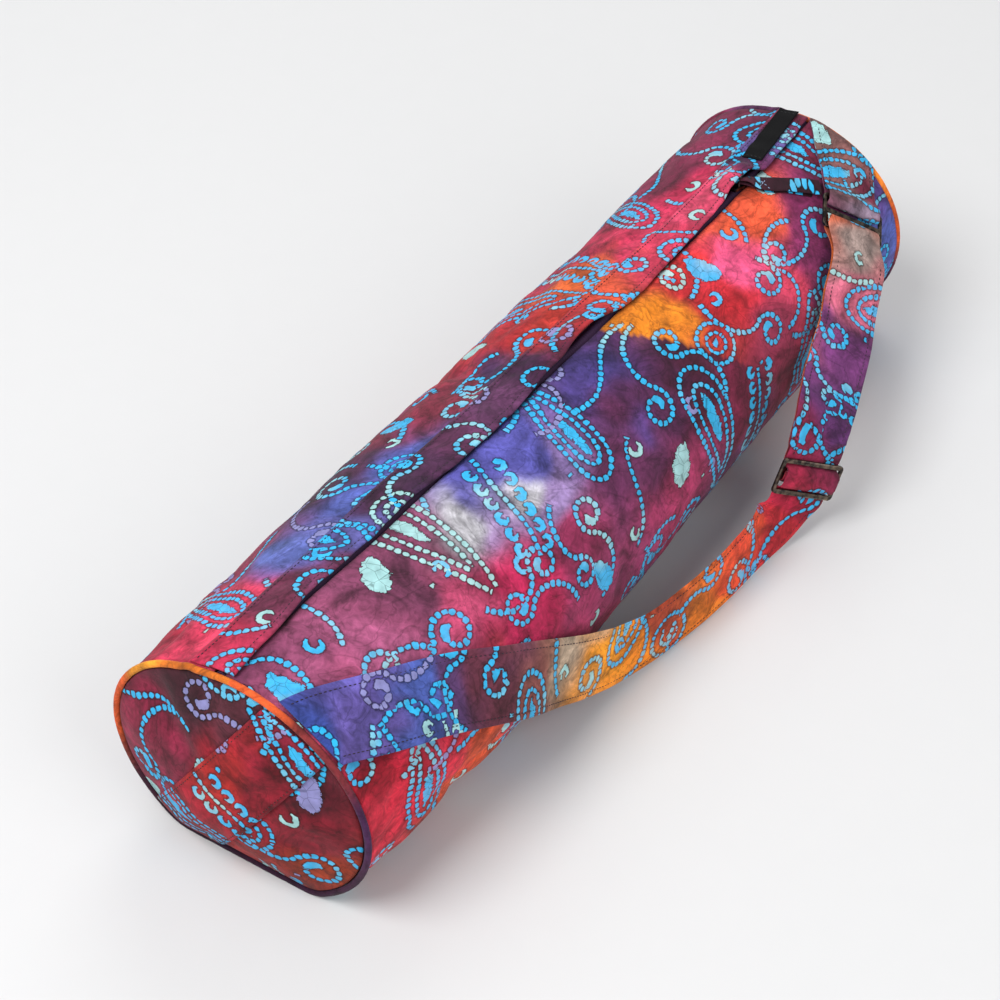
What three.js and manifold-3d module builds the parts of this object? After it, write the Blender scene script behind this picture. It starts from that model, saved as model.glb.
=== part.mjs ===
// A yoga mat bag of printed cotton, lying on its side.
// The tube is closed along its top by a zipper under a cloth flap. A shoulder strap is sewn in at the base,
// lies over the bag's side, stands on its edge on the floor and runs up to a metal frame at the far rim.
// Millimetres, +Z up. +X runs along the bag from its base to its far end, and the strap lies on the -Y side.
// The origin is on the floor under the middle of the bag.
import * as THREE from 'three';
import { mergeVertices } from 'three/addons/utils/BufferGeometryUtils.js';
import Module from 'manifold-3d';

const wasm = await Module();
wasm.setup();

// Driving dimensions: the bag
const bagLength = 675;
const bagWidth = 188;
const bagHeight = 160;
const widestShare = 0.465;
const sagDepth = 14;
const floorCorner = 5;
const clothWall = 1.6;
const gap = 0.3;
const layerGap = 0.7;
const metalGap = 0.5;
const strapGap = 1;

// Driving dimensions: the ends
const pipingDiameter = 4.4;
const pipingProud = 1.0;
const discRecess = 1.4;
const baseBulge = 15;
const endBulge = 7;
const bandThickness = 1.2;

// Driving dimensions: the zipper, its flap and the label
const zipperTurnBase = 6;
const zipperTurnFar = -4;
const slitWidth = 9;
const tapeWidth = 26;
const tapeThickness = 0.8;
const coilWidth = 5;
const coilProud = 0.5;
const flapRoot = 22;
const flapReach = 7;
const flapThickness = 1.3;
const flapLow = 0.5;
const flapRise = 1.8;
const labelWidth = 15;
const labelLength = 66;
const labelThickness = 0.7;
const labelSide = 9;
const labelHeading = 6;
const zipSliderAlong = 0.7;
const zipSliderLength = 13;
const zipSliderWidth = 10;
const zipSliderHeight = 2.4;
const crownOpening = 2.2;
const crownWire = 1.4;
const crownSpan = 8;
const pullLength = 62;
const pullWidth = 13;
const pullThickness = 0.8;
const pullHeading = 48;

// Driving dimensions: the strap and its metal frames
const strapWidth = 48;
const strapThickness = 1.6;
const frameLength = 26;
const barWidth = 3.4;
const sideBarWidth = 2.8;
const sideRoom = 0.5;
const barThickness = 2.4;
const frameCorner = 3;
const strapTurn = 34;
const sliderAlong = 0.317;
const sliderOut = 1.52;
const sliderHeight = 46;
const sliderSlope = 59;
const sliderHeading = -9;
const sliderRoll = 21;
const swingBefore = 64;
const swingAfter = 30;
const ringApproach = 25;
const ringApproachLift = 8.5;
const tabThickness = 1.6;
const tabHeading = 39;
const tabCornerFromFlap = -3;
const tabReach = 69;
const ringLift = 6;

// Section of the bag along its length: how wide and how tall it is, as shares of the rim's size, and how far
// its middle is shifted to +Y, as a share of its half width.
const bodySections = [
  { along: -1.0, wide: 1.0, tall: 1.0, shift: 0.0 },
  { along: -0.84, wide: 1.035, tall: 1.005, shift: -0.026 },
  { along: -0.5, wide: 1.085, tall: 1.0, shift: -0.06 },
  { along: -0.15, wide: 1.045, tall: 0.99, shift: -0.07 },
  { along: 0.2, wide: 1.02, tall: 0.98, shift: -0.07 },
  { along: 0.55, wide: 0.99, tall: 0.97, shift: -0.07 },
  { along: 0.85, wide: 0.98, tall: 0.965, shift: -0.04 },
  { along: 1.0, wide: 0.955, tall: 0.975, shift: -0.04 },
];

// Soft dents and folds of the tube. along and length are shares of the bag's half length, turn is in degrees
// from the top towards +Y, breadth and depth are shares of its half width, heading is in degrees from +X.
const bodyFolds = [
  { along: -0.78, turn: 40, length: 0.17, breadth: 0.12, heading: 35, depth: -0.026 },
  { along: -0.62, turn: 24, length: 0.22, breadth: 0.1, heading: -12, depth: 0.022 },
  { along: -0.46, turn: 62, length: 0.2, breadth: 0.16, heading: 20, depth: -0.03 },
  { along: -0.3, turn: -30, length: 0.24, breadth: 0.15, heading: -25, depth: -0.022 },
  { along: -0.1, turn: 38, length: 0.22, breadth: 0.12, heading: 24, depth: -0.032 },
  { along: 0.06, turn: -52, length: 0.2, breadth: 0.18, heading: 30, depth: -0.02 },
  { along: 0.12, turn: 26, length: 0.16, breadth: 0.1, heading: -20, depth: 0.024 },
  { along: 0.34, turn: 50, length: 0.24, breadth: 0.14, heading: 18, depth: -0.03 },
  { along: 0.46, turn: -24, length: 0.2, breadth: 0.14, heading: -18, depth: -0.02 },
  { along: 0.62, turn: 30, length: 0.18, breadth: 0.11, heading: 30, depth: -0.026 },
  { along: 0.78, turn: -60, length: 0.16, breadth: 0.2, heading: 10, depth: 0.02 },
  { along: 0.84, turn: 66, length: 0.18, breadth: 0.16, heading: -14, depth: -0.024 },
  { along: -0.7, turn: -80, length: 0.2, breadth: 0.2, heading: 12, depth: 0.02 },
  { along: -0.2, turn: 120, length: 0.3, breadth: 0.2, heading: 15, depth: -0.028 },
  { along: 0.5, turn: 128, length: 0.26, breadth: 0.2, heading: -18, depth: -0.024 },
  { along: 0.2, turn: -112, length: 0.3, breadth: 0.18, heading: -12, depth: -0.02 },
];

// Radial folds of the end discs: turn in degrees from the top towards +Y, spread in degrees, depth as a
// share of the base's bulge.
const discFolds = [
  { turn: 52, spread: 11, depth: -0.5 },
  { turn: 84, spread: 14, depth: 0.16 },
  { turn: 14, spread: 12, depth: -0.14 },
  { turn: -58, spread: 9, depth: -0.2 },
  { turn: -84, spread: 9, depth: 0.14 },
  { turn: -108, spread: 8, depth: -0.18 },
  { turn: 128, spread: 12, depth: -0.16 },
];

// The flap along the bag: how far its free edge reaches, as a share of flapReach, and how high it stands off
// the zipper, as a share of flapRise.
const flapWaves = [
  { along: -1.0, reach: 1.5, rise: 0.9 },
  { along: -0.9, reach: 1.15, rise: 1.0 },
  { along: -0.74, reach: 0.55, rise: 1.5 },
  { along: -0.6, reach: 0.5, rise: 1.1 },
  { along: -0.47, reach: 0.4, rise: 1.9 },
  { along: -0.32, reach: 0.9, rise: 1.1 },
  { along: -0.17, reach: 1.0, rise: 1.3 },
  { along: 0.0, reach: 0.5, rise: 2.2 },
  { along: 0.115, reach: 0.0, rise: 3.4 },
  { along: 0.26, reach: 1.05, rise: 1.2 },
  { along: 0.38, reach: 0.8, rise: 1.0 },
  { along: 0.52, reach: 0.55, rise: 1.5 },
  { along: 0.62, reach: 0.4, rise: 2.2 },
  { along: 0.665, reach: 0.2, rise: 5.0 },
  { along: 0.7, reach: 0.15, rise: 5.6 },
  { along: 0.735, reach: 0.3, rise: 4.8 },
  { along: 0.78, reach: 1.2, rise: 1.9 },
  { along: 0.86, reach: 0.9, rise: 1.1 },
  { along: 1.0, reach: 0.45, rise: 0.9 },
];

// The doubled zipper pull from its tip back to the slider, and from the slider out again underneath: along
// is a share of its length, raised counts thicknesses of cloth off its resting height.
const pullUpperLayer = [
  { along: 1.0, raised: 4.6 },
  { along: 0.8, raised: 2.6 },
  { along: 0.55, raised: 1.9 },
  { along: 0.34, raised: 1.5 },
];
const pullLowerLayer = [
  { along: 0.34, raised: 0 },
  { along: 0.55, raised: 0 },
  { along: 0.8, raised: 0 },
  { along: 0.93, raised: 0 },
];

// The strap's route where it lies on the bag. along is a share of the bag's half length, turn is in
// degrees from the top towards the strap's side.
const strapOnBag = [
  { along: -1.04, turn: strapTurn - 3 },
  { along: -0.965, turn: strapTurn + 2 },
  { along: -0.85, turn: strapTurn + 13 },
  { along: -0.72, turn: strapTurn + 26 },
  { along: -0.6, turn: strapTurn + 40 },
];

// The strap's route where it is free, up to the slider, at the strap's middle line. along is a share of the
// bag's half length, out a share of its half width, height a share of the bag's height, and lean its tilt
// from upright towards the bag in degrees.
const strapToSlider = [
  { along: -0.397, out: 1.21, height: 0.35, lean: 5 },
  { along: -0.302, out: 1.24, height: 0.24, lean: 3 },
  { along: -0.199, out: 1.3, height: 0.175, lean: 1 },
  { along: -0.089, out: 1.372, height: 0.158, lean: 2 },
  { along: 0.012, out: 1.425, height: 0.157, lean: 3 },
  { along: 0.1, out: 1.447, height: 0.157, lean: 5 },
  { along: 0.19, out: 1.45, height: 0.16, lean: 9 },
  { along: 0.262, out: 1.475, height: 0.18, lean: 11 },
];

// The same from the slider up to the metal frame at the tab.
const strapToRing = [
  { along: 0.352, out: 1.54, height: 0.455, lean: 40 },
  { along: 0.4, out: 1.49, height: 0.515, lean: 48 },
  { along: 0.462, out: 1.415, height: 0.53, lean: 52 },
  { along: 0.533, out: 1.335, height: 0.55, lean: 51 },
  { along: 0.601, out: 1.265, height: 0.587, lean: 49 },
  { along: 0.674, out: 1.16, height: 0.64, lean: 49 },
];

// Mesh steps: enough for smooth outlines with few faces
const bodyRows = 28;
const bodyColumns = 42;
const rimSteps = 42;
const pipingSides = 8;
const discRings = 4;
const flapRows = 40;
const curveStep = 13;

// Values worked out from the driving dimensions
const halfLength = bagLength / 2;
const halfWidth = bagWidth / 2;
const widestHeight = bagHeight * widestShare;
const pipingRadius = pipingDiameter / 2;
const clothEnd = halfLength - pipingDiameter - gap;
const zipSliderBase = coilProud + gap;
const zipSliderTop = zipSliderBase + zipSliderHeight;
const crownBar = zipSliderTop + crownOpening + crownWire / 2;
const frameWidth = strapWidth + 2 * (sideBarWidth + sideRoom);
const barPitch = (frameLength - barWidth) / 2;
const wrapRadius = barThickness / 2 + metalGap + strapThickness / 2;
const tabWrapRadius = barThickness / 2 + metalGap + tabThickness / 2;

const { degToRad, lerp, clamp, smoothstep } = THREE.MathUtils;

function tableValue(rows, key, along) {
  // Smooth value of one column at a place along the bag, by a cubic through the table's rows.
  const last = rows.length - 1;
  if (along <= rows[0].along) return rows[0][key];
  if (along >= rows[last].along) return rows[last][key];
  const i = rows.findIndex((row) => row.along > along) - 1;
  const t = (along - rows[i].along) / (rows[i + 1].along - rows[i].along);
  return lerp(rows[i][key], rows[i + 1][key], t * t * (3 - 2 * t));
}

function foldShare(along, turn) {
  // Sum of the soft dents at one place of the tube, as a share of the half width.
  let sum = 0;
  for (const fold of bodyFolds) {
    const lengthways = (along - fold.along) * halfLength;
    const around = degToRad(turn - fold.turn) * halfWidth;
    const heading = degToRad(fold.heading);
    const c = Math.cos(heading);
    const s = Math.sin(heading);
    const onAxis = (lengthways * c + around * s) / (fold.length * halfLength);
    const across = (around * c - lengthways * s) / (fold.breadth * halfWidth);
    sum += fold.depth * Math.exp(-onAxis * onAxis - across * across);
  }
  const rimFade = smoothstep(1 - Math.abs(along), 0, 0.08);
  return sum * rimFade;
}

function restOnFloor(z) {
  // Cloth that would hang below the floor lies flat on it, with a small round corner.
  if (z >= floorCorner) return z;
  if (z <= -floorCorner) return 0;
  return (z + floorCorner) ** 2 / (4 * floorCorner);
}

function sectionPoint(x, turn) {
  // Outer surface of the tube as [y, z]; turn is in radians from the top towards +Y.
  const along = clamp(x / halfLength, -1.1, 1.1);
  const degrees = ((THREE.MathUtils.radToDeg(turn) + 540) % 360) - 180;
  const swell = 1 + foldShare(along, degrees);
  const wide = halfWidth * tableValue(bodySections, 'wide', along) * swell;
  const up = (bagHeight * tableValue(bodySections, 'tall', along) - widestHeight) * swell;
  const down = (widestHeight + sagDepth) * swell;
  const middle = halfWidth * tableValue(bodySections, 'shift', along);
  const c = Math.cos(turn);
  return [middle + wide * Math.sin(turn), restOnFloor(widestHeight + (c > 0 ? up : down) * c)];
}

function skinNormal(x, turn) {
  const step = 0.01;
  const [y0, z0] = sectionPoint(x, turn - step);
  const [y1, z1] = sectionPoint(x, turn + step);
  return new THREE.Vector3(0, z0 - z1, y1 - y0).normalize();
}

function skin(x, turn, lift) {
  // Point that stands lift off the tube's outer surface.
  const [y, z] = sectionPoint(x, turn);
  return new THREE.Vector3(x, y, z).addScaledVector(skinNormal(x, turn), lift);
}

function zipperTurn(x) {
  return degToRad(lerp(zipperTurnBase, zipperTurnFar, (x / halfLength + 1) / 2));
}

function besideZipper(x, side, lift) {
  // Point beside the zipper's centre line, side millimetres towards +Y.
  return skin(x, zipperTurn(x) + side / halfWidth, lift);
}

// Solid builders

function geometryOf(points, faces) {
  const geometry = new THREE.BufferGeometry();
  const coordinates = points.flatMap((p) => [p.x, p.y, p.z]);
  geometry.setAttribute('position', new THREE.Float32BufferAttribute(coordinates, 3));
  geometry.setIndex(faces.flat());
  geometry.computeVertexNormals();
  return geometry;
}

function quad(faces, a, b, c, d) {
  faces.push([a, b, c], [a, c, d]);
}

function sheetSolid(rowStops, columnStops, place) {
  // A sheet with thickness: place(row, column, layer) gives a point, layer 1 on top and 0 below.
  const points = [];
  const faces = [];
  const columns = columnStops.length;
  const size = rowStops.length * columns;
  for (const layer of [0, 1]) {
    for (const row of rowStops) {
      for (const column of columnStops) points.push(place(row, column, layer));
    }
  }
  const at = (layer, i, j) => layer * size + i * columns + j;
  for (let i = 0; i < rowStops.length - 1; i += 1) {
    for (let j = 0; j < columns - 1; j += 1) {
      quad(faces, at(1, i, j), at(1, i + 1, j), at(1, i + 1, j + 1), at(1, i, j + 1));
      quad(faces, at(0, i, j), at(0, i, j + 1), at(0, i + 1, j + 1), at(0, i + 1, j));
    }
    const end = columns - 1;
    quad(faces, at(0, i, 0), at(0, i + 1, 0), at(1, i + 1, 0), at(1, i, 0));
    quad(faces, at(0, i, end), at(1, i, end), at(1, i + 1, end), at(0, i + 1, end));
  }
  const far = rowStops.length - 1;
  for (let j = 0; j < columns - 1; j += 1) {
    quad(faces, at(0, 0, j), at(1, 0, j), at(1, 0, j + 1), at(0, 0, j + 1));
    quad(faces, at(0, far, j), at(0, far, j + 1), at(1, far, j + 1), at(1, far, j));
  }
  return outward(geometryOf(points, faces));
}

function discSolid(rings, steps, place) {
  // A round sheet with thickness: place(share, angle, layer) gives a point at a share of the radius.
  const points = [];
  const faces = [];
  const size = rings * steps + 1;
  for (const layer of [0, 1]) {
    points.push(place(0, 0, layer));
    for (let i = 1; i <= rings; i += 1) {
      for (let j = 0; j < steps; j += 1) points.push(place(i / rings, (2 * Math.PI * j) / steps, layer));
    }
  }
  const at = (layer, i, j) => layer * size + 1 + (i - 1) * steps + (j % steps);
  for (let j = 0; j < steps; j += 1) {
    faces.push([size, at(1, 1, j), at(1, 1, j + 1)], [0, at(0, 1, j + 1), at(0, 1, j)]);
    for (let i = 1; i < rings; i += 1) {
      quad(faces, at(1, i, j), at(1, i + 1, j), at(1, i + 1, j + 1), at(1, i, j + 1));
      quad(faces, at(0, i, j), at(0, i, j + 1), at(0, i + 1, j + 1), at(0, i + 1, j));
    }
    quad(faces, at(1, rings, j), at(0, rings, j), at(0, rings, j + 1), at(1, rings, j + 1));
  }
  return outward(geometryOf(points, faces));
}

function hoopSolid(steps, sides, place) {
  // A closed tube: place(angle, roll) gives a point, both angles in radians.
  const points = [];
  const faces = [];
  for (let i = 0; i < steps; i += 1) {
    const angle = (2 * Math.PI * i) / steps;
    for (let j = 0; j < sides; j += 1) points.push(place(angle, (2 * Math.PI * j) / sides));
  }
  const at = (i, j) => (i % steps) * sides + (j % sides);
  for (let i = 0; i < steps; i += 1) {
    for (let j = 0; j < sides; j += 1) quad(faces, at(i, j), at(i + 1, j), at(i + 1, j + 1), at(i, j + 1));
  }
  return outward(geometryOf(points, faces));
}

function signedVolume(geometry) {
  const position = geometry.getAttribute('position');
  const index = geometry.getIndex();
  const [a, b, c] = [new THREE.Vector3(), new THREE.Vector3(), new THREE.Vector3()];
  let sum = 0;
  for (let i = 0; i < index.count; i += 3) {
    a.fromBufferAttribute(position, index.getX(i));
    b.fromBufferAttribute(position, index.getX(i + 1));
    c.fromBufferAttribute(position, index.getX(i + 2));
    sum += a.dot(b.cross(c)) / 6;
  }
  return sum;
}

function outward(geometry) {
  // Turns all faces round when they point inwards.
  if (signedVolume(geometry) > 0) return geometry;
  const order = Array.from(geometry.getIndex().array);
  for (let i = 0; i < order.length; i += 3) [order[i + 1], order[i + 2]] = [order[i + 2], order[i + 1]];
  geometry.setIndex(order);
  geometry.computeVertexNormals();
  return geometry;
}

function toManifold(geometry) {
  const bare = geometry.clone();
  bare.deleteAttribute('normal');
  bare.deleteAttribute('uv');
  const merged = mergeVertices(bare, 1e-4);
  const vertProperties = Float32Array.from(merged.getAttribute('position').array);
  const triVerts = Uint32Array.from(merged.getIndex().array);
  return new wasm.Manifold(new wasm.Mesh({ numProp: 3, vertProperties, triVerts }));
}

function fromManifold(solid) {
  const mesh = solid.getMesh();
  const geometry = new THREE.BufferGeometry();
  geometry.setAttribute('position', new THREE.Float32BufferAttribute(Array.from(mesh.vertProperties), 3));
  geometry.setIndex(Array.from(mesh.triVerts));
  geometry.computeVertexNormals();
  return geometry;
}

function evenStops(from, to, count) {
  return Array.from({ length: count + 1 }, (_, i) => lerp(from, to, i / count));
}

function foldedRibbon(profile, thickness, columns, widthAt, place) {
  // A strip of cloth that follows a profile of [along, height] points and may fold back over itself.
  // place(along, across, height) puts it in space.
  const middle = profile.map(([a, h]) => new THREE.Vector2(a, h));
  const normals = middle.map((point, i) => {
    const before = middle[Math.max(i - 1, 0)];
    const after = middle[Math.min(i + 1, middle.length - 1)];
    const way = after.clone().sub(before).normalize();
    return new THREE.Vector2(-way.y, way.x);
  });
  const rows = profile.map((_, i) => i);
  return sheetSolid(rows, evenStops(-0.5, 0.5, columns), (i, share, layer) => {
    const offset = (layer - 0.5) * thickness;
    const point = middle[i].clone().addScaledVector(normals[i], offset);
    return place(point.x, share * widthAt(middle[i].x), point.y);
  });
}

function halfTurn(along, height, radius, forward) {
  // Points of a fold: half a circle that leaves the upper layer and comes back as the lower one.
  const steps = 6;
  const points = [];
  for (let i = 0; i <= steps; i += 1) {
    const angle = (Math.PI * i) / steps;
    points.push([along + forward * radius * Math.sin(angle), height + radius * Math.cos(angle)]);
  }
  return points;
}

// The bag's own pieces

function bodyGeometry() {
  const slitEdge = slitWidth / 2 / halfWidth;
  const rows = evenStops(-clothEnd, clothEnd, bodyRows);
  const columns = evenStops(slitEdge, 2 * Math.PI - slitEdge, bodyColumns);
  return sheetSolid(rows, columns, (x, turn, layer) => {
    const lift = (layer - 1) * clothWall;
    return skin(x, zipperTurn(x) + turn, lift);
  });
}

function pipingGeometry(end) {
  const centre = end * (halfLength - pipingRadius);
  return hoopSolid(rimSteps, pipingSides, (turn, roll) => {
    const lift = pipingProud - pipingRadius + pipingRadius * Math.sin(roll);
    const point = skin(centre, turn, lift);
    point.x = centre + pipingRadius * Math.cos(roll);
    point.z = Math.max(point.z, 0);
    return point;
  });
}

function discEdge(end, angle) {
  // Distance from the disc's middle to its edge, in one direction measured from the top towards +Y.
  const lift = pipingProud - pipingDiameter - layerGap;
  const steps = 180;
  let before = null;
  for (let i = 0; i <= steps; i += 1) {
    const point = skin(end * (halfLength - pipingRadius), (2 * Math.PI * i) / steps - Math.PI, lift);
    const direction = Math.atan2(point.y, point.z - widestHeight);
    const reach = Math.hypot(point.y, point.z - widestHeight);
    if (before && direction >= angle) {
      return lerp(before.reach, reach, (angle - before.direction) / (direction - before.direction));
    }
    before = { direction, reach };
  }
  return before.reach;
}

const discEdges = new Map();

function discReach(end, angle) {
  // The same distance, looked up between steps that are worked out once.
  const steps = 96;
  const wrapped = (((angle + Math.PI) / (2 * Math.PI)) % 1 + 1) % 1;
  const place = wrapped * steps;
  const corner = (i) => {
    const key = `${end}:${i % steps}`;
    const direction = ((i % steps) / steps) * 2 * Math.PI - Math.PI;
    if (!discEdges.has(key)) discEdges.set(key, discEdge(end, direction));
    return discEdges.get(key);
  };
  return lerp(corner(Math.floor(place)), corner(Math.floor(place) + 1), place - Math.floor(place));
}

function discBulge(end, share, angle) {
  // How far the disc stands out beyond its seam.
  const degrees = THREE.MathUtils.radToDeg(angle);
  const bulge = end < 0 ? baseBulge : endBulge;
  const lowerHalf = 1 + 0.3 * smoothstep(-Math.cos(angle), -0.4, 0.9);
  let out = bulge * lowerHalf * (1 - share ** 2.4);
  for (const fold of discFolds) {
    const away = (((degrees - fold.turn + 540) % 360) - 180) / fold.spread;
    out += baseBulge * fold.depth * Math.exp(-away * away) * share * share * (1 - share ** 6) * 1.6;
  }
  return out;
}

function discPoint(end, y, z, lift) {
  // Point on the disc's outer face at [y, z], lift millimetres outside it.
  const angle = Math.atan2(y, z - widestHeight);
  const share = Math.min(Math.hypot(y, z - widestHeight) / discReach(end, angle), 1);
  return new THREE.Vector3(end * (halfLength - discRecess + discBulge(end, share, angle) + lift), y, z);
}

function discGeometry(end) {
  return discSolid(discRings, rimSteps, (share, angle, layer) => {
    const reach = share * discReach(end, angle);
    const y = reach * Math.sin(angle);
    const z = widestHeight + reach * Math.cos(angle);
    return discPoint(end, y, z, (layer - 1) * clothWall);
  });
}

function baseBandGeometry() {
  // The band crosses the base through its middle, in line with the strap's seam.
  const turn = degToRad(-strapTurn);
  const way = [Math.sin(turn), Math.cos(turn)];
  const endAt = (side, across) => {
    // Distance from the middle, along the band, at which one of its long edges meets the rim.
    const tries = 12;
    let reach = discReach(-1, turn);
    for (let i = 0; i < tries; i += 1) {
      const y = side * way[0] * reach + way[1] * across;
      const z = side * way[1] * reach - way[0] * across;
      reach *= (discReach(-1, Math.atan2(y, z)) - gap) / Math.hypot(y, z);
    }
    return reach;
  };
  const rows = evenStops(-1, 1, 22);
  const columns = evenStops(-0.5, 0.5, 4);
  return sheetSolid(rows, columns, (row, share, layer) => {
    const across = share * strapWidth;
    const reach = Math.abs(row) * endAt(Math.sign(row) || 1, across) * Math.sign(row);
    const y = way[0] * reach + way[1] * across;
    const z = widestHeight + way[1] * reach - way[0] * across;
    return discPoint(-1, y, z, layerGap + layer * bandThickness);
  });
}

// Zipper, flap and label

function tapeGeometry() {
  const edge = coilWidth / 2;
  const columns = [-tapeWidth / 2, -edge - 0.6, -edge, 0, edge, edge + 0.6, tapeWidth / 2];
  const rows = evenStops(-clothEnd, clothEnd, bodyRows);
  const low = -clothWall - layerGap - tapeThickness;
  return sheetSolid(rows, columns, (x, side, layer) => {
    const onCoil = Math.abs(side) <= edge ? coilProud : low + tapeThickness;
    return besideZipper(x, side, layer ? onCoil : low);
  });
}

function flapLift(x, side) {
  // Height of the flap's underside: sewn down at its root, standing off the zipper towards its free edge.
  const along = x / halfLength;
  const rise = flapRise * tableValue(flapWaves, 'rise', along);
  const towardsEdge = clamp((flapRoot - side) / (flapRoot + flapReach), 0, 1);
  return flapLow + rise * smoothstep(towardsEdge, 0.02, 0.62);
}

function flapGeometry() {
  const rows = flapWaves.flatMap((row, i) => {
    const next = flapWaves[i + 1];
    if (!next) return [row.along];
    const parts = Math.max(2, Math.round(((next.along - row.along) / 2) * flapRows));
    return evenStops(row.along, next.along, parts).slice(0, -1);
  });
  return sheetSolid(rows, evenStops(0, 1, 5), (along, share, layer) => {
    const x = clamp(along * halfLength, -clothEnd, clothEnd);
    const edge = -flapReach * tableValue(flapWaves, 'reach', along);
    const side = lerp(flapRoot, edge, share);
    return besideZipper(x, side, flapLift(x, side) + layer * flapThickness);
  });
}

function labelGeometry() {
  const rows = evenStops(clothEnd - labelLength, clothEnd, 7);
  const middle = clothEnd - labelLength / 2;
  return sheetSolid(rows, evenStops(-0.5, 0.5, 3), (x, share, layer) => {
    const side = labelSide + (x - middle) * Math.tan(degToRad(labelHeading)) + share * labelWidth;
    return besideZipper(x, side, flapLift(x, side) + flapThickness + layerGap + layer * labelThickness);
  });
}

function frameAt(point, along, normal) {
  // Matrix whose X axis is along, whose Z axis is the normal, and whose origin is the point.
  const zAxis = normal.clone().normalize();
  const yAxis = zAxis.clone().cross(along).normalize();
  const xAxis = yAxis.clone().cross(zAxis);
  return new THREE.Matrix4().makeBasis(xAxis, yAxis, zAxis).setPosition(point);
}

const zipSliderX = zipSliderAlong * halfLength;

function pullPlace(along, across, lift) {
  // The pull's own patch of the bag's surface, which starts at the slider and heads away from the zipper.
  const heading = degToRad(pullHeading);
  const x = zipSliderX + along * Math.cos(heading) + across * Math.sin(heading);
  const side = -along * Math.sin(heading) + across * Math.cos(heading);
  return besideZipper(x, side, lift);
}

function zipSliderGeometry() {
  // A wedge-shaped body with a crown on top: a wire arch that stands across the pull.
  const outline = new THREE.Shape();
  const half = zipSliderLength / 2;
  const side = zipSliderWidth / 2;
  outline.moveTo(-half, -side * 0.55);
  outline.lineTo(half * 0.2, -side);
  outline.lineTo(half * 0.8, -side * 0.9);
  outline.lineTo(half, -side * 0.5);
  outline.lineTo(half, side * 0.5);
  outline.lineTo(half * 0.8, side * 0.9);
  outline.lineTo(half * 0.2, side);
  outline.lineTo(-half, side * 0.55);
  outline.closePath();
  const plate = new THREE.ExtrudeGeometry(outline, { depth: zipSliderHeight, bevelEnabled: false });
  plate.translate(0, 0, zipSliderBase);
  const reach = crownSpan / 2;
  const sunk = zipSliderTop - crownWire / 2;
  const arch = new THREE.CurvePath();
  const corner = [
    new THREE.Vector3(0, -reach, sunk),
    new THREE.Vector3(0, -reach, crownBar - crownWire),
    new THREE.Vector3(0, -reach + crownWire, crownBar),
    new THREE.Vector3(0, reach - crownWire, crownBar),
    new THREE.Vector3(0, reach, crownBar - crownWire),
    new THREE.Vector3(0, reach, sunk),
  ];
  for (let i = 0; i < corner.length - 1; i += 1) arch.add(new THREE.LineCurve3(corner[i], corner[i + 1]));
  const wire = new THREE.Shape();
  wire.absarc(0, 0, crownWire / 2, 0, 2 * Math.PI);
  const options = { steps: 22, curveSegments: 3, extrudePath: arch, bevelEnabled: false };
  const crown = new THREE.ExtrudeGeometry(wire, options);
  crown.rotateZ(-degToRad(pullHeading));
  const geometry = fromManifold(toManifold(plate).add(toManifold(crown)));
  const turn = zipperTurn(zipSliderX);
  const frame = frameAt(skin(zipSliderX, turn, 0), new THREE.Vector3(1, 0, 0), skinNormal(zipSliderX, turn));
  return geometry.applyMatrix4(frame);
}

function pullGeometry() {
  // Doubled cloth through the crown: over the wire, round it and back under it.
  const radius = crownWire / 2 + gap + pullThickness / 2;
  const lowest = layerGap + pullThickness / 2;
  const layer = pullThickness + gap;
  const clearOfSlider = zipSliderLength / 2 + 5;
  const upper = [
    ...pullUpperLayer.map((row) => [row.along * pullLength, lowest + row.raised * layer]),
    [clearOfSlider + 2, lowest + 2.7 * layer],
    [clearOfSlider * 0.6, crownBar + radius * 0.9],
    [crownWire, crownBar + radius],
  ];
  const lower = [
    [crownWire, crownBar - radius],
    [clearOfSlider * 0.72, zipSliderTop + gap + pullThickness / 2],
    [clearOfSlider + 2, lowest + 1.6 * layer],
    ...pullLowerLayer.map((row) => [row.along * pullLength, lowest + row.raised * layer]),
  ];
  const profile = [...upper, ...halfTurn(0, crownBar, radius, -1), ...lower];
  const narrow = (crownSpan - 2 * crownWire - 2 * gap) * 0.9;
  const widthAt = (along) => lerp(narrow, pullWidth, smoothstep(along, crownWire, clearOfSlider + 6));
  return foldedRibbon(profile, pullThickness, 1, widthAt, pullPlace);
}

// The metal frame of the tab, and the tab

const rimArc = (tabCornerFromFlap + flapReach + strapWidth / 2 / Math.cos(degToRad(tabHeading)))
  - zipperTurn(halfLength) * halfWidth;

function tabPatch(along, across, lift) {
  // The tab's own patch of the bag's surface: along grows from the far rim towards the metal frame.
  const heading = degToRad(tabHeading);
  const x = clothEnd - along * Math.cos(heading) - across * Math.sin(heading);
  const arc = rimArc + along * Math.sin(heading) - across * Math.cos(heading);
  return skin(x, -arc / halfWidth, lift);
}

function ringFrame() {
  // X runs from the rim down to the strap, Z stands off the bag.
  const step = 1;
  const middle = tabPatch(tabReach, 0, ringLift);
  const along = tabPatch(tabReach + step, 0, 0).sub(tabPatch(tabReach - step, 0, 0)).normalize();
  const across = tabPatch(tabReach, step, 0).sub(tabPatch(tabReach, -step, 0)).normalize();
  const normal = along.clone().cross(across);
  const outside = tabPatch(tabReach, 0, ringLift).sub(tabPatch(tabReach, 0, 0));
  if (normal.dot(outside) < 0) normal.negate();
  return frameAt(middle, along, normal);
}

const ringMatrix = ringFrame();

function onRing(along, across, height) {
  return new THREE.Vector3(along, across, height).applyMatrix4(ringMatrix);
}

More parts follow.
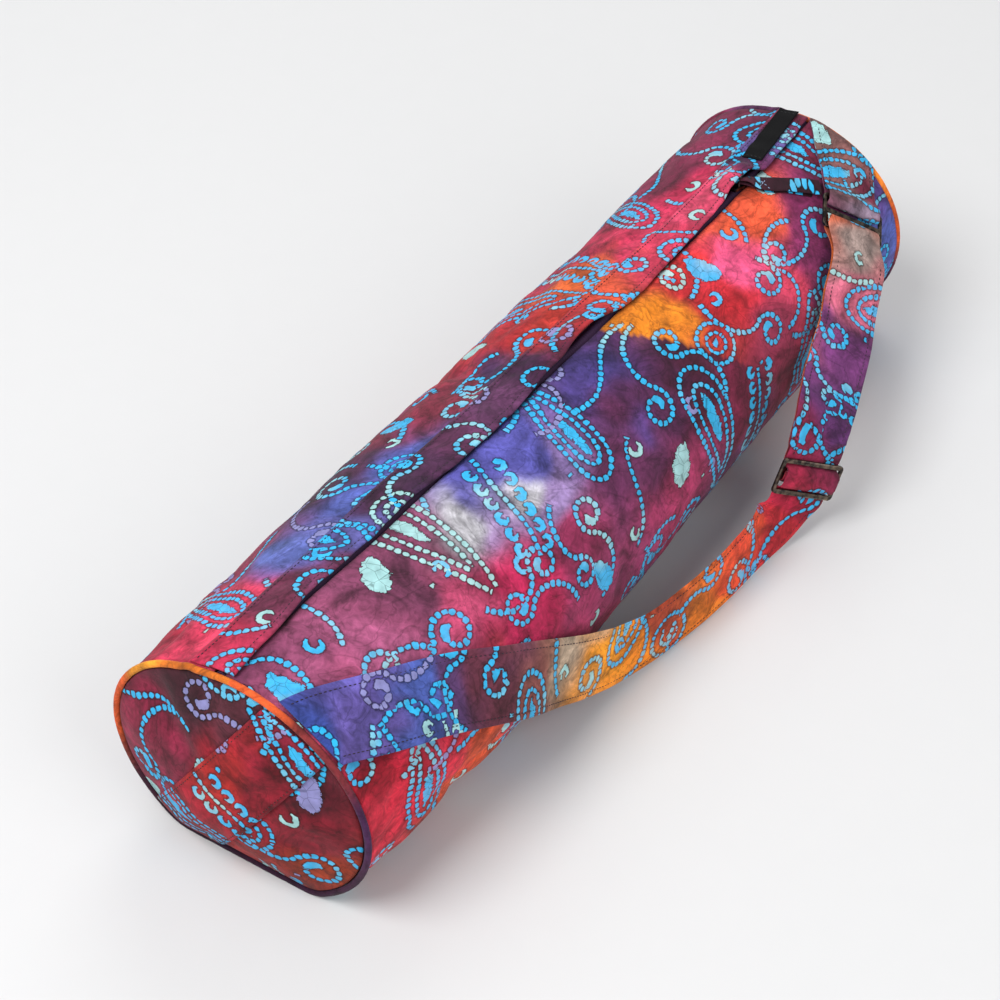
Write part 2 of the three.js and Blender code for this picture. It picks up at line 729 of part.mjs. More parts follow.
// The tab's patch and the metal frame may count across in opposite ways.
const acrossPatch = tabPatch(tabReach, 1, 0).sub(tabPatch(tabReach, 0, 0));
const acrossRing = onRing(0, 1, 0).sub(onRing(0, 0, 0));
const tabSide = Math.sign(acrossPatch.dot(acrossRing));

function tabPlace(along, across, lift) {
  // On the bag near the rim, and in the metal frame's plane near the frame.
  const share = smoothstep(along, tabReach * 0.2, tabReach - barPitch - barWidth);
  const onFrame = onRing(along - tabReach, tabSide * across, lift - ringLift);
  return tabPatch(along, across, lift).lerp(onFrame, share);
}

function threeBarFrame() {
  // A flat metal frame with two windows and round corners, long side across the strap.
  const x = frameLength / 2 - frameCorner;
  const y = frameWidth / 2 - frameCorner;
  const corners = [[x, y], [-x, y], [-x, -y], [x, -y]];
  const outline = corners.flatMap(([cornerX, cornerY], quarter) => evenStops(0, 1, 3).map((share) => {
    const angle = ((quarter + share) * Math.PI) / 2;
    const arc = new THREE.Vector2(frameCorner * Math.cos(angle), frameCorner * Math.sin(angle));
    return arc.add(new THREE.Vector2(cornerX, cornerY));
  }));
  const options = { depth: barThickness, bevelEnabled: false };
  const plate = new THREE.ExtrudeGeometry(new THREE.Shape(outline), options);
  plate.translate(0, 0, -barThickness / 2);
  let frame = toManifold(plate);
  for (const side of [-1, 1]) {
    const across = frameWidth - 2 * sideBarWidth;
    const window = new THREE.BoxGeometry(barPitch - barWidth, across, 2 * barThickness);
    window.translate((side * barPitch) / 2, 0, 0);
    frame = frame.subtract(toManifold(window));
  }
  return fromManifold(frame);
}

function ringGeometry() {
  return threeBarFrame().applyMatrix4(ringMatrix);
}

function cutAtRim(geometry, end) {
  // Cuts a strip off square with the bag, where the rim seam holds it.
  const reach = bagLength;
  const block = new THREE.BoxGeometry(reach, reach, reach);
  block.translate(end * (clothEnd + reach / 2), 0, bagHeight / 2);
  return fromManifold(toManifold(geometry).subtract(toManifold(block)));
}

function tabGeometry() {
  // Two layers from the rim, folded round the frame's upper bar, the fold reaching towards its middle bar.
  const beyondRim = strapWidth / 2;
  const lowLayer = layerGap + tabThickness / 2;
  const highLayer = lowLayer + tabThickness + gap;
  const topBar = tabReach - barPitch;
  const fold = tabReach - barWidth / 2 - tabWrapRadius - 4;
  const approach = topBar - barWidth - 10;
  const profile = [
    ...evenStops(-beyondRim, approach, 5).map((a) => [a, highLayer]),
    [topBar - barWidth, ringLift + tabWrapRadius],
    [topBar, ringLift + tabWrapRadius],
    ...halfTurn(fold, ringLift, tabWrapRadius, 1),
    [topBar, ringLift - tabWrapRadius],
    [topBar - barWidth, ringLift - tabWrapRadius],
    ...evenStops(approach, -beyondRim, 5).map((a) => [a, lowLayer]),
  ];
  return cutAtRim(foldedRibbon(profile, tabThickness, 4, () => strapWidth, tabPlace), 1);
}

// The strap

function sliderWays() {
  // The slider's own directions: along the strap, and out of its face.
  const slope = degToRad(sliderSlope);
  const heading = degToRad(sliderHeading);
  const roll = degToRad(sliderRoll);
  const flat = new THREE.Vector3(Math.cos(heading), Math.sin(heading), 0);
  const along = flat.clone().multiplyScalar(Math.cos(slope)).setZ(Math.sin(slope));
  const aside = new THREE.Vector3(flat.y, -flat.x, 0);
  const back = aside.clone().cross(along);
  const face = aside.multiplyScalar(Math.cos(roll)).addScaledVector(back, Math.sin(roll));
  return { along, face };
}

function strapStations() {
  // Points of the strap's middle line. Each has the way its outer face looks, or else its lean.
  const stations = [];
  for (const row of strapOnBag) {
    const turn = -degToRad(row.turn);
    const x = row.along * halfLength;
    const lift = strapGap + strapThickness / 2 + pipingProud * smoothstep(-row.along, 0.9, 1.0);
    stations.push({ point: skin(x, turn, lift), face: skinNormal(x, turn) });
  }
  const freeStation = (row) => ({
    point: new THREE.Vector3(row.along * halfLength, -row.out * halfWidth, row.height * bagHeight),
    lean: degToRad(row.lean),
  });
  stations.push(...strapToSlider.map(freeStation));
  const slider = sliderWays();
  const middle = new THREE.Vector3(sliderAlong * halfLength, -sliderOut * halfWidth, sliderHeight);
  for (const step of [-frameLength / 2, 0, frameLength / 2]) {
    stations.push({ point: middle.clone().addScaledVector(slider.along, step), face: slider.face });
  }
  stations.push(...strapToRing.map(freeStation));
  const face = onRing(0, 0, 1).sub(onRing(0, 0, 0));
  stations.push({ point: onRing(barPitch + ringApproach, 0, ringApproachLift), face });
  for (const along of [barPitch, 0, -barPitch]) stations.push({ point: onRing(along, 0, wrapRadius), face });
  return stations;
}

const stations = strapStations();
const strapLine = new THREE.CatmullRomCurve3(stations.map((station) => station.point), false, 'centripetal');
const lengthSteps = 60;
strapLine.arcLengthDivisions = lengthSteps * (stations.length - 1);
const strapLengths = strapLine.getLengths();
const strapLengthAll = strapLengths[strapLengths.length - 1];
const strapRingAt = strapLengths[strapLengths.length - 1 - 2 * lengthSteps];
const strapSliderAt = strapLengths[(strapOnBag.length + strapToSlider.length + 1) * lengthSteps];

const upright = new THREE.Vector3(0, 0, 1);
const faces = stations.map((station, i) => {
  if (station.face) return station.face;
  const way = strapLine.getTangent(i / (stations.length - 1));
  const rise = upright.clone().addScaledVector(way, -upright.dot(way)).normalize();
  const out = way.clone().cross(rise);
  return out.multiplyScalar(Math.cos(station.lean)).addScaledVector(rise, Math.sin(station.lean));
});

function strapFace(t) {
  const place = clamp(t, 0, 1) * (faces.length - 1);
  const i = Math.min(Math.floor(place), faces.length - 2);
  const share = place - i;
  return faces[i].clone().lerp(faces[i + 1], share * share * (3 - 2 * share));
}

function strapMatrix(distance) {
  const u = clamp(distance / strapLengthAll, 0, 1);
  const t = strapLine.getUtoTmapping(u);
  return frameAt(strapLine.getPoint(t), strapLine.getTangent(t), strapFace(t));
}

const strapSliderMatrix = strapMatrix(strapSliderAt);

function strapPlace(distance, across, height) {
  // On the route, and straight through the slider where its metal keeps the strap flat. The strap turns in
  // its own plane there, so its width swings round to the slider's some way before it.
  const away = distance - strapSliderAt;
  const [along, side, face, sliderSide] = [0, 0, 0, 0].map(() => new THREE.Vector3());
  const matrix = strapMatrix(distance);
  matrix.extractBasis(along, side, face);
  strapSliderMatrix.extractBasis(along, sliderSide, along);
  const swing = 1 - smoothstep(Math.abs(away), frameLength / 2, away < 0 ? swingBefore : swingAfter);
  side.lerp(sliderSide, swing).normalize();
  const onRoute = new THREE.Vector3().setFromMatrixPosition(matrix);
  onRoute.addScaledVector(side, across).addScaledVector(face, height);
  const straight = new THREE.Vector3(away, across, height).applyMatrix4(strapSliderMatrix);
  const share = 1 - smoothstep(Math.abs(away), frameLength * 0.6, frameLength * 1.1);
  return onRoute.lerp(straight, share);
}

const sliderLift = strapThickness / 2 + metalGap + barThickness / 2;
const humpHeight = sliderLift + wrapRadius + gap + strapThickness;
const humpFlat = barWidth + 2.5;
const humpFoot = barPitch - barWidth / 2 - 1;

function humpLift(distance) {
  // The strap rises over the slider's middle bar between its two outer bars.
  const away = Math.abs(distance - strapSliderAt);
  return humpHeight * (1 - smoothstep(away, humpFlat, humpFoot));
}

function strapGeometry() {
  const slope = evenStops(-humpFoot, humpFoot, 16).map((d) => strapSliderAt + d);
  const clearOfSlider = frameLength / 2 + 2;
  const clearOfRing = barWidth / 2 + 2;
  const before = evenStops(0, strapSliderAt - clearOfSlider, Math.round(strapSliderAt / curveStep));
  const afterCount = Math.round((strapRingAt - strapSliderAt) / curveStep);
  const after = evenStops(strapSliderAt + clearOfSlider, strapRingAt - clearOfRing, afterCount);
  const front = [...before, ...slope, ...after, strapRingAt].map((d) => [d, humpLift(d)]);
  const foldAt = strapRingAt + barPitch - barWidth / 2 - wrapRadius - 1;
  const rearLift = -strapThickness - gap;
  const behind = (d) => {
    const nearRing = smoothstep(d, strapRingAt - 2 * barPitch, strapRingAt - 2);
    return lerp(rearLift, -2 * wrapRadius, nearRing);
  };
  const rearStart = strapSliderAt + barPitch + barWidth / 2;
  const rear = [strapRingAt, ...evenStops(strapRingAt - clearOfRing, rearStart, afterCount)];
  const underBar = sliderLift - wrapRadius;
  const wrapAt = strapSliderAt - barWidth / 2 + wrapRadius * 0.2;
  const wrap = halfTurn(wrapAt, sliderLift, wrapRadius, -1).reverse();
  const profile = [
    ...front,
    ...halfTurn(foldAt, -wrapRadius, wrapRadius, 1),
    ...rear.map((d) => [d, behind(d)]),
    [strapSliderAt + humpFlat + 4, rearLift * 0.75],
    [strapSliderAt + humpFlat, underBar],
    ...wrap,
    [strapSliderAt + barWidth + 1, sliderLift + wrapRadius],
  ];
  const ribbon = foldedRibbon(profile, strapThickness, 1, () => strapWidth, strapPlace);
  return cutAtRim(ribbon, -1);
}

function strapSliderGeometry() {
  const lifted = new THREE.Matrix4().makeTranslation(0, 0, sliderLift);
  return threeBarFrame().applyMatrix4(strapSliderMatrix.clone().multiply(lifted));
}

// Materials

function finish(color, roughness, metalness) {
  return new THREE.MeshStandardMaterial({ color, roughness, metalness });
}

const printedCotton = finish('#8c2f52', 0.9, 0);
const strapCotton = finish('#a2405a', 0.9, 0);
const baseCotton = finish('#6e1f35', 0.9, 0);
const pipingCotton = finish('#c9622c', 0.85, 0);
const pullCotton = finish('#4a1a2c', 0.85, 0);
const labelSatin = finish('#0c0c0d', 0.6, 0);
const zipperNylon = finish('#1d1a22', 0.6, 0);
const gunmetal = finish('#4a423e', 0.35, 1);

const parts = [
  ['body', bodyGeometry(), printedCotton],
  ['base_disc', discGeometry(-1), baseCotton],
  ['base_band', baseBandGeometry(), baseCotton],
  ['end_disc', discGeometry(1), baseCotton],
  ['base_piping', pipingGeometry(-1), pipingCotton],
  ['end_piping', pipingGeometry(1), pipingCotton],
  ['zipper_tape', tapeGeometry(), zipperNylon],
  ['zipper_slider', zipSliderGeometry(), gunmetal],
  ['zipper_pull', pullGeometry(), pullCotton],
  ['zipper_flap', flapGeometry(), printedCotton],
  ['label', labelGeometry(), labelSatin],
  ['anchor_tab', tabGeometry(), strapCotton],
  ['strap_ring', ringGeometry(), gunmetal],
  ['strap', strapGeometry(), strapCotton],
  ['strap_slider', strapSliderGeometry(), gunmetal],
];

const bag = new THREE.Group();
for (const [name, geometry, material] of parts) {
  const mesh = new THREE.Mesh(geometry, material);
  mesh.name = name;
  bag.add(mesh);
}

export default bag;
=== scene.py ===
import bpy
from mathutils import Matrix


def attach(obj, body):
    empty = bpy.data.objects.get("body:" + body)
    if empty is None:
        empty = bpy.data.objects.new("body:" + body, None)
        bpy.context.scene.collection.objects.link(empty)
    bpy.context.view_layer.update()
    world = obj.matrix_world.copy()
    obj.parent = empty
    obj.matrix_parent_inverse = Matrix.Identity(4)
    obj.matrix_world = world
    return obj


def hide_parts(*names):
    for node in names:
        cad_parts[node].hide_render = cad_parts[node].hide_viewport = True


bl_info = {
    "name": "Yoga Mat Bag",
    "version": (1, 0, 0),
    "blender": (4, 5, 0),
    "location": "3D View > Sidebar > Mat Bag",
    "description": "Builds the cloth, print, stitching and metal of a batik yoga mat bag on its packed frame",
    "category": "Object",
}

import math
from types import SimpleNamespace

import bmesh
import bpy
import numpy as np
from bpy.props import FloatProperty, FloatVectorProperty, PointerProperty
from bpy.types import Operator, Panel, PropertyGroup
from mathutils import Matrix, Vector

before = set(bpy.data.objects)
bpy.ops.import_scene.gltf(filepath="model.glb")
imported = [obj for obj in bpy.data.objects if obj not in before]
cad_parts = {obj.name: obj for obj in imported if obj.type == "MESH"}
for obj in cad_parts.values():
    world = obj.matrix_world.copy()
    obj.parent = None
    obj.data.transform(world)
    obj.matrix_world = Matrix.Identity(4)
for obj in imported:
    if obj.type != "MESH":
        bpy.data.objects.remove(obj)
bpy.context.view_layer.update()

MM = 0.001
size = SimpleNamespace()


def rows_of(names, *rows):
    """A short table: one array for each named column."""
    return {name: np.array(column) for name, column in zip(names.split(), zip(*rows))}


# Section of the bag along its length: how wide and tall it is, as shares of the rim, and its shift to +Y.
BODY_SECTIONS = rows_of(
    "along wide tall shift",
    (-1.0, 1.0, 1.0, 0.0),
    (-0.84, 1.035, 1.005, -0.026),
    (-0.5, 1.085, 1.0, -0.06),
    (-0.15, 1.045, 0.99, -0.07),
    (0.2, 1.02, 0.98, -0.07),
    (0.55, 0.99, 0.97, -0.07),
    (0.85, 0.98, 0.965, -0.04),
    (1.0, 0.955, 0.975, -0.04),
)

# Soft dents and folds of the tube: place, size, heading in degrees and depth as a share of the half width.
BODY_FOLDS = (
    (-0.78, 40, 0.17, 0.12, 35, -0.026),
    (-0.62, 24, 0.22, 0.1, -12, 0.022),
    (-0.46, 62, 0.2, 0.16, 20, -0.03),
    (-0.3, -30, 0.24, 0.15, -25, -0.022),
    (-0.1, 38, 0.22, 0.12, 24, -0.032),
    (0.06, -52, 0.2, 0.18, 30, -0.02),
    (0.12, 26, 0.16, 0.1, -20, 0.024),
    (0.34, 50, 0.24, 0.14, 18, -0.03),
    (0.46, -24, 0.2, 0.14, -18, -0.02),
    (0.62, 30, 0.18, 0.11, 30, -0.026),
    (0.78, -60, 0.16, 0.2, 10, 0.02),
    (0.84, 66, 0.18, 0.16, -14, -0.024),
    (-0.7, -80, 0.2, 0.2, 12, 0.02),
    (-0.2, 120, 0.3, 0.2, 15, -0.028),
    (0.5, 128, 0.26, 0.2, -18, -0.024),
    (0.2, -112, 0.3, 0.18, -12, -0.02),
)

# Radial folds of the end discs: turn and spread in degrees, depth as a share of the base's bulge.
DISC_FOLDS = (
    (52, 11, -0.5),
    (84, 14, 0.16),
    (14, 12, -0.14),
    (-58, 9, -0.2),
    (-84, 9, 0.14),
    (-108, 8, -0.18),
    (128, 12, -0.16),
)

# The flap along the bag: reach of its free edge and height off the zipper, as shares of their sizes.
FLAP_WAVES = rows_of(
    "along reach rise",
    (-1.0, 1.5, 0.9),
    (-0.9, 1.15, 1.0),
    (-0.74, 0.55, 1.5),
    (-0.6, 0.5, 1.1),
    (-0.47, 0.4, 1.9),
    (-0.32, 0.9, 1.1),
    (-0.17, 1.0, 1.3),
    (0.0, 0.5, 2.2),
    (0.115, 0.0, 3.4),
    (0.26, 1.05, 1.2),
    (0.38, 0.8, 1.0),
    (0.52, 0.55, 1.5),
    (0.62, 0.4, 2.2),
    (0.665, 0.2, 5.0),
    (0.7, 0.15, 5.6),
    (0.735, 0.3, 4.8),
    (0.78, 1.2, 1.9),
    (0.86, 0.9, 1.1),
    (1.0, 0.45, 0.9),
)

# The strap where it lies on the bag: along, and turn past its seam in degrees. Where it is free: along, out,
# height and lean in degrees.
STRAP_ON_BAG = ((-1.04, -3), (-0.965, 2), (-0.85, 13), (-0.72, 26), (-0.6, 40))
STRAP_TO_SLIDER = (
    (-0.397, 1.21, 0.35, 5),
    (-0.302, 1.24, 0.24, 3),
    (-0.199, 1.3, 0.175, 1),
    (-0.089, 1.372, 0.158, 2),
    (0.012, 1.425, 0.157, 3),
    (0.1, 1.447, 0.157, 5),
    (0.19, 1.45, 0.16, 9),
    (0.262, 1.475, 0.18, 11),
)
STRAP_TO_RING = (
    (0.352, 1.54, 0.455, 40),
    (0.4, 1.49, 0.515, 48),
    (0.462, 1.415, 0.53, 52),
    (0.533, 1.335, 0.55, 51),
    (0.601, 1.265, 0.587, 49),
    (0.674, 1.16, 0.64, 49),
)

# Sizes in millimetres and degrees that the panel doesn't offer.
FLOOR_CORNER = 5
GAP = 0.3
LAYER_GAP = 0.7
METAL_GAP = 0.5
STRAP_GAP = 1
PIPING_PROUD = 1.0
DISC_RECESS = 1.4
END_BULGE = 7
BAND_THICKNESS = 1.2
ZIPPER_TURN_BASE = 6
ZIPPER_TURN_FAR = -4
SLIT_WIDTH = 9
TAPE_WIDTH = 26
TAPE_THICKNESS = 0.8
COIL_WIDTH = 5
COIL_PROUD = 0.5
FLAP_THICKNESS = 1.3
FLAP_LOW = 0.5
FLAP_RISE = 1.8
LABEL_THICKNESS = 0.7
LABEL_SIDE = 9
LABEL_HEADING = 6
ZIP_SLIDER_ALONG = 0.7
ZIP_SLIDER_LENGTH = 13
ZIP_SLIDER_HEIGHT = 2.4
CROWN_OPENING = 2.2
CROWN_WIRE = 1.4
CROWN_SPAN = 8
PULL_THICKNESS = 0.8
PULL_HEADING = 48
STRAP_THICKNESS = 1.6
BAR_WIDTH = 3.4
SIDE_BAR_WIDTH = 2.8
SIDE_ROOM = 0.5
BAR_THICKNESS = 2.4
FRAME_CORNER = 3
STRAP_TURN = 34
SLIDER_ALONG = 0.317
SLIDER_OUT = 1.52
SLIDER_HEIGHT = 46
SLIDER_SLOPE = 59
SLIDER_HEADING = -9
SLIDER_ROLL = 21
SWING_BEFORE = 64
SWING_AFTER = 30
RING_APPROACH = 25
RING_APPROACH_LIFT = 8.5
TAB_THICKNESS = 1.6
TAB_HEADING = 39
TAB_CORNER_FROM_FLAP = -3
TAB_REACH = 69
RING_LIFT = 6
STITCH_PITCH = 3.2
STITCH_INSET = 4.6


def lerp(a, b, share):
    return a + (b - a) * share


def ease(value, low, high):
    """Smooth step from 0 at low to 1 at high."""
    t = np.clip((value - low) / (high - low), 0, 1)
    return t * t * (3 - 2 * t)


def table_value(rows, key, along):
    """Smooth value of one column at a place along the bag."""
    stops, values = rows["along"], rows[key]
    along = np.clip(along, stops[0], stops[-1])
    i = np.clip(np.searchsorted(stops, along, side="right") - 1, 0, len(stops) - 2)
    t = (along - stops[i]) / (stops[i + 1] - stops[i])
    return lerp(values[i], values[i + 1], t * t * (3 - 2 * t))


def noise(x, y, seed, wrap=0):
    """Smooth noise from -1 to 1 over unit cells; wrap is how many cells it takes to come round in y."""
    i, j = np.floor(x), np.floor(y)
    u, v = ease(x - i, 0, 1), ease(y - j, 0, 1)

    def corner(a, b):
        b = np.mod(b, wrap) if wrap else b
        value = np.sin(a * 127.1 + b * 311.7 + seed * 74.7) * 43758.5453
        return (value - np.floor(value)) * 2 - 1

    near = lerp(corner(i, j), corner(i + 1, j), u)
    far = lerp(corner(i, j + 1), corner(i + 1, j + 1), u)
    return lerp(near, far, v)


def unit(vectors):
    return vectors / np.linalg.norm(vectors, axis=-1, keepdims=True)


# The bag's own surface, as in the part's source


def fold_share(along, degrees):
    total = 0
    for place, turn, length, breadth, heading, depth in BODY_FOLDS:
        lengthways = (along - place) * size.half_length
        around = np.radians(degrees - turn) * size.half_width
        c, s = math.cos(math.radians(heading)), math.sin(math.radians(heading))
        on_axis = (lengthways * c + around * s) / (length * size.half_length)
        across = (around * c - lengthways * s) / (breadth * size.half_width)
        total = total + depth * np.exp(-on_axis * on_axis - across * across)
    return total * ease(1 - np.abs(along), 0, 0.08)


def rest_on_floor(z):
    corner = (z + FLOOR_CORNER) ** 2 / (4 * FLOOR_CORNER)
    return np.where(z >= FLOOR_CORNER, z, np.where(z <= -FLOOR_CORNER, 0, corner))


def section_point(x, turn):
    along = np.clip(x / size.half_length, -1.1, 1.1)
    degrees = np.mod(np.degrees(turn) + 540, 360) - 180
    swell = 1 + fold_share(along, degrees)
    wide = size.half_width * table_value(BODY_SECTIONS, "wide", along) * swell
    up = (size.height * table_value(BODY_SECTIONS, "tall", along) - size.widest_height) * swell
    down = (size.widest_height + size.sag) * swell
    middle = size.half_width * table_value(BODY_SECTIONS, "shift", along)
    c = np.cos(turn)
    z = rest_on_floor(size.widest_height + np.where(c > 0, up, down) * c)
    return middle + wide * np.sin(turn), z


def skin_normal(x, turn):
    y0, z0 = section_point(x, turn - 0.01)
    y1, z1 = section_point(x, turn + 0.01)
    return unit(np.stack([np.zeros_like(y0), z0 - z1, y1 - y0], -1))


def crumple(x, turn):
    """How far the cloth sinks below its smooth shape, in millimetres: creases, puckers and small dents."""
    around = turn / (2 * math.pi)
    bend = noise(x / 90, around * 7, 3, 7) * 0.5
    long_crease = 1 - np.abs(noise(x / 64 + around * 5, around * 12 + bend, 5, 12))
    short_crease = 1 - np.abs(noise(x / 30 - around * 9 + bend, around * 27 + bend, 11, 27))
    patch = ease(noise(x / 120, around * 5, 17, 5), -0.5, 0.7)
    sink = 4.4 * long_crease ** 3 * patch + 1.9 * short_crease ** 3 * lerp(0.4, 1, patch)
    sink = sink + 0.35 * noise(x / 11, around * 48, 23, 48)
    rim = np.minimum(size.half_length - np.abs(x), 200)
    pucker = 0.5 + 0.5 * noise(x * 0 + 2.5, around * 46, 29, 46)
    sink = sink * ease(rim, 4, 40) + 2.3 * pucker * ease(rim, 2, 9) * (1 - ease(rim, 9, 50))
    beside = turn_from_zipper(x, turn) * size.half_width
    sink = sink * lerp(0.1, 1, ease(np.abs(beside), TAPE_WIDTH / 2, TAPE_WIDTH))
    seam = np.abs(beside - size.flap_root)
    tuck = 0.5 + 0.5 * noise(x / 9 + around * 4, around * 6, 31)
    return sink * ease(seam, 0, 14) + 1.7 * tuck * ease(seam, 1, 7) * (1 - ease(seam, 7, 40))


def turn_from_zipper(x, turn):
    return np.mod(turn - zipper_turn(x) + math.pi, 2 * math.pi) - math.pi


def skin(x, turn, lift):
    """Points that stand lift off the tube's outer surface."""
    x, turn, lift = np.broadcast_arrays(*(np.asarray(v, float) for v in (x, turn, lift)))
    y, z = section_point(x, turn)
    touching = ease(z, 0, 12)
    out = lift - crumple(x, turn) * touching
    return np.stack([x, y, z], -1) + skin_normal(x, turn) * out[..., None]


def zipper_turn(x):
    return np.radians(lerp(ZIPPER_TURN_BASE, ZIPPER_TURN_FAR, (x / size.half_length + 1) / 2))


def beside_zipper(x, side, lift):
    return skin(x, zipper_turn(x) + side / size.half_width, lift)


# The end discs


def disc_reach(end, angle):
    turn = np.linspace(-math.pi, math.pi, 361)
    lift = PIPING_PROUD - size.piping - LAYER_GAP
    edge = skin(end * (size.half_length - size.piping / 2), turn, lift)
    direction = np.arctan2(edge[:, 1], edge[:, 2] - size.widest_height)
    reach = np.hypot(edge[:, 1], edge[:, 2] - size.widest_height)
    order = np.argsort(direction)
    return np.interp(angle, direction[order], reach[order], period=2 * math.pi)


def disc_bulge(end, share, angle):
    degrees = np.degrees(angle)
    bulge = size.base_bulge if end < 0 else END_BULGE
    low = lerp(0.5, ease(-np.cos(angle), -0.4, 0.9), ease(share, 0, 0.4))
    out = bulge * (1 + 0.3 * low) * (1 - share ** 2.4)
    for turn, spread, depth in DISC_FOLDS:
        away = (np.mod(degrees - turn + 540, 360) - 180) / spread
        out = out + size.base_bulge * depth * np.exp(-away * away) * share ** 2 * (1 - share ** 6) * 1.6
    pleat = 1 - np.abs(noise(angle / (2 * math.pi) * 34, share * 2 + 9, 41 + end))
    gather = 1 - np.abs(noise(angle / (2 * math.pi) * 15 + share, share * 2.4, 47 + end))
    return out - (1.1 * pleat ** 3 + 1.6 * gather ** 3) * ease(share, 0.25, 0.9) * (1 - share ** 8)


def disc_point(end, y, z, lift):
    angle = np.arctan2(y, z - size.widest_height)
    share = np.minimum(np.hypot(y, z - size.widest_height) / disc_reach(end, angle), 1)
    x = end * (size.half_length - DISC_RECESS + disc_bulge(end, share, angle) + lift)
    return np.stack([x, y, z], -1)


# The strap's route


def frame_of(along, normal):
    """Axes with Z on the normal and X near along."""
    z_axis = unit(normal)
    y_axis = unit(np.cross(z_axis, along))
    return np.cross(y_axis, z_axis), y_axis, z_axis


def tab_patch(along, across, lift):
    heading = math.radians(TAB_HEADING)
    x = size.cloth_end - along * math.cos(heading) - across * math.sin(heading)
    rim_arc = TAB_CORNER_FROM_FLAP + size.flap_reach + size.strap_width / 2 / math.cos(heading)
    rim_arc = rim_arc - zipper_turn(size.half_length) * size.half_width
    arc = rim_arc + along * math.sin(heading) - across * math.cos(heading)
    return skin(x, -arc / size.half_width, lift)


def ring_frame():
    """Origin and axes of the metal frame at the tab."""
    origin = tab_patch(TAB_REACH, 0, RING_LIFT)
    along = unit(tab_patch(TAB_REACH + 12, 0, 0) - tab_patch(TAB_REACH - 12, 0, 0))
    across = unit(tab_patch(TAB_REACH, 12, 0) - tab_patch(TAB_REACH, -12, 0))
    normal = np.cross(along, across)
    if normal @ (origin - tab_patch(TAB_REACH, 0, 0)) < 0:
        normal = -normal
    return (origin, *frame_of(along, normal))


def placed(axes, along, across, height):
    """Points given in the directions of a set of axes."""
    origin, x_axis, y_axis, z_axis = axes
    along, across, height = np.broadcast_arrays(along, across, height)
    return origin + along[..., None] * x_axis + across[..., None] * y_axis + height[..., None] * z_axis


class Line:
    """A smooth line through points, measured along its length."""

    def __init__(self, points, steps=60):
        self.points = np.array(points, float)
        self.steps = np.linspace(0, len(points) - 1, steps * (len(points) - 1) + 1)
        walked = np.linalg.norm(np.diff(self.at(self.steps), axis=0), axis=1)
        self.lengths = np.concatenate([[0], np.cumsum(walked)])

    def at(self, t):
        p = self.points
        padded = np.vstack([2 * p[0] - p[1], p, 2 * p[-1] - p[-2]])
        i = np.clip(np.floor(t).astype(int), 0, len(p) - 2)
        p0, p1, p2, p3 = padded[i], padded[i + 1], padded[i + 2], padded[i + 3]
        spans = ((p0, p1), (p1, p2), (p2, p3))
        d0, d1, d2 = (np.linalg.norm(b - a, axis=-1, keepdims=True) ** 0.5 for a, b in spans)
        way1 = ((p1 - p0) / d0 - (p2 - p0) / (d0 + d1) + (p2 - p1) / d1) * d1
        way2 = ((p2 - p1) / d1 - (p3 - p1) / (d1 + d2) + (p3 - p2) / d2) * d1
        u = (t - i)[:, None]
        bent = (-3 * p1 + 3 * p2 - 2 * way1 - way2) * u * u
        return p1 + way1 * u + bent + (2 * p1 - 2 * p2 + way1 + way2) * u ** 3

    def place(self, distance):
        return np.interp(distance, self.lengths, self.steps)

    def walked(self, t):
        return np.interp(t, self.steps, self.lengths)

    def way(self, t):
        last = len(self.points) - 1
        step = 1e-4 * last
        return unit(self.at(np.clip(t + step, 0, last)) - self.at(np.clip(t - step, 0, last)))


def slider_ways():
    slope, heading, roll = (math.radians(v) for v in (SLIDER_SLOPE, SLIDER_HEADING, SLIDER_ROLL))
    flat = np.array([math.cos(heading), math.sin(heading), 0])
    along = flat * math.cos(slope) + np.array([0, 0, math.sin(slope)])
    aside = np.array([flat[1], -flat[0], 0])
    return along, aside * math.cos(roll) + np.cross(aside, along) * math.sin(roll)


def lay_strap():
    """Works out the strap's line, the way its face looks, and where its metal frames are."""
    points, faces = [], []
    for along, turn in STRAP_ON_BAG:
        angle = -math.radians(STRAP_TURN + turn)
        lift = STRAP_GAP + STRAP_THICKNESS / 2 + PIPING_PROUD * ease(-along, 0.9, 1.0)
        points.append(skin(along * size.half_length, angle, lift))
        faces.append(skin_normal(np.array(along * size.half_length), np.array(angle)))

    def free(rows):
        for along, out, height, lean in rows:
            points.append(np.array([along * size.half_length, -out * size.half_width, height * size.height]))
            faces.append(math.radians(lean))

    free(STRAP_TO_SLIDER)
    slider_along, slider_face = slider_ways()
    middle = np.array([SLIDER_ALONG * size.half_length, -SLIDER_OUT * size.half_width, SLIDER_HEIGHT])
    for step in (-size.frame_length / 2, 0, size.frame_length / 2):
        points.append(middle + slider_along * step)
        faces.append(slider_face)
    free(STRAP_TO_RING)
    size.ring = ring_frame()
    points.append(placed(size.ring, size.bar_pitch + RING_APPROACH, 0, RING_APPROACH_LIFT))
    for along in (size.bar_pitch, 0, -size.bar_pitch):
        points.append(placed(size.ring, along, 0, size.wrap_radius))
    faces.extend([size.ring[3]] * 4)

    line = Line(points)
    ways = line.way(np.arange(len(points), dtype=float))
    for i, face in enumerate(faces):
        if np.ndim(face) == 0:
            rise = unit(np.array([0, 0, 1]) - ways[i] * ways[i][2])
            faces[i] = np.cross(ways[i], rise) * math.cos(face) + rise * math.sin(face)
    size.strap_line = line
    size.strap_faces = np.array(faces)
    size.strap_ring_at = line.walked(len(points) - 3)
    size.strap_slider_at = line.walked(len(STRAP_ON_BAG) + len(STRAP_TO_SLIDER) + 1)
    size.slider = strap_axes(np.array([size.strap_slider_at]))
    size.slider = tuple(v[0] for v in size.slider)


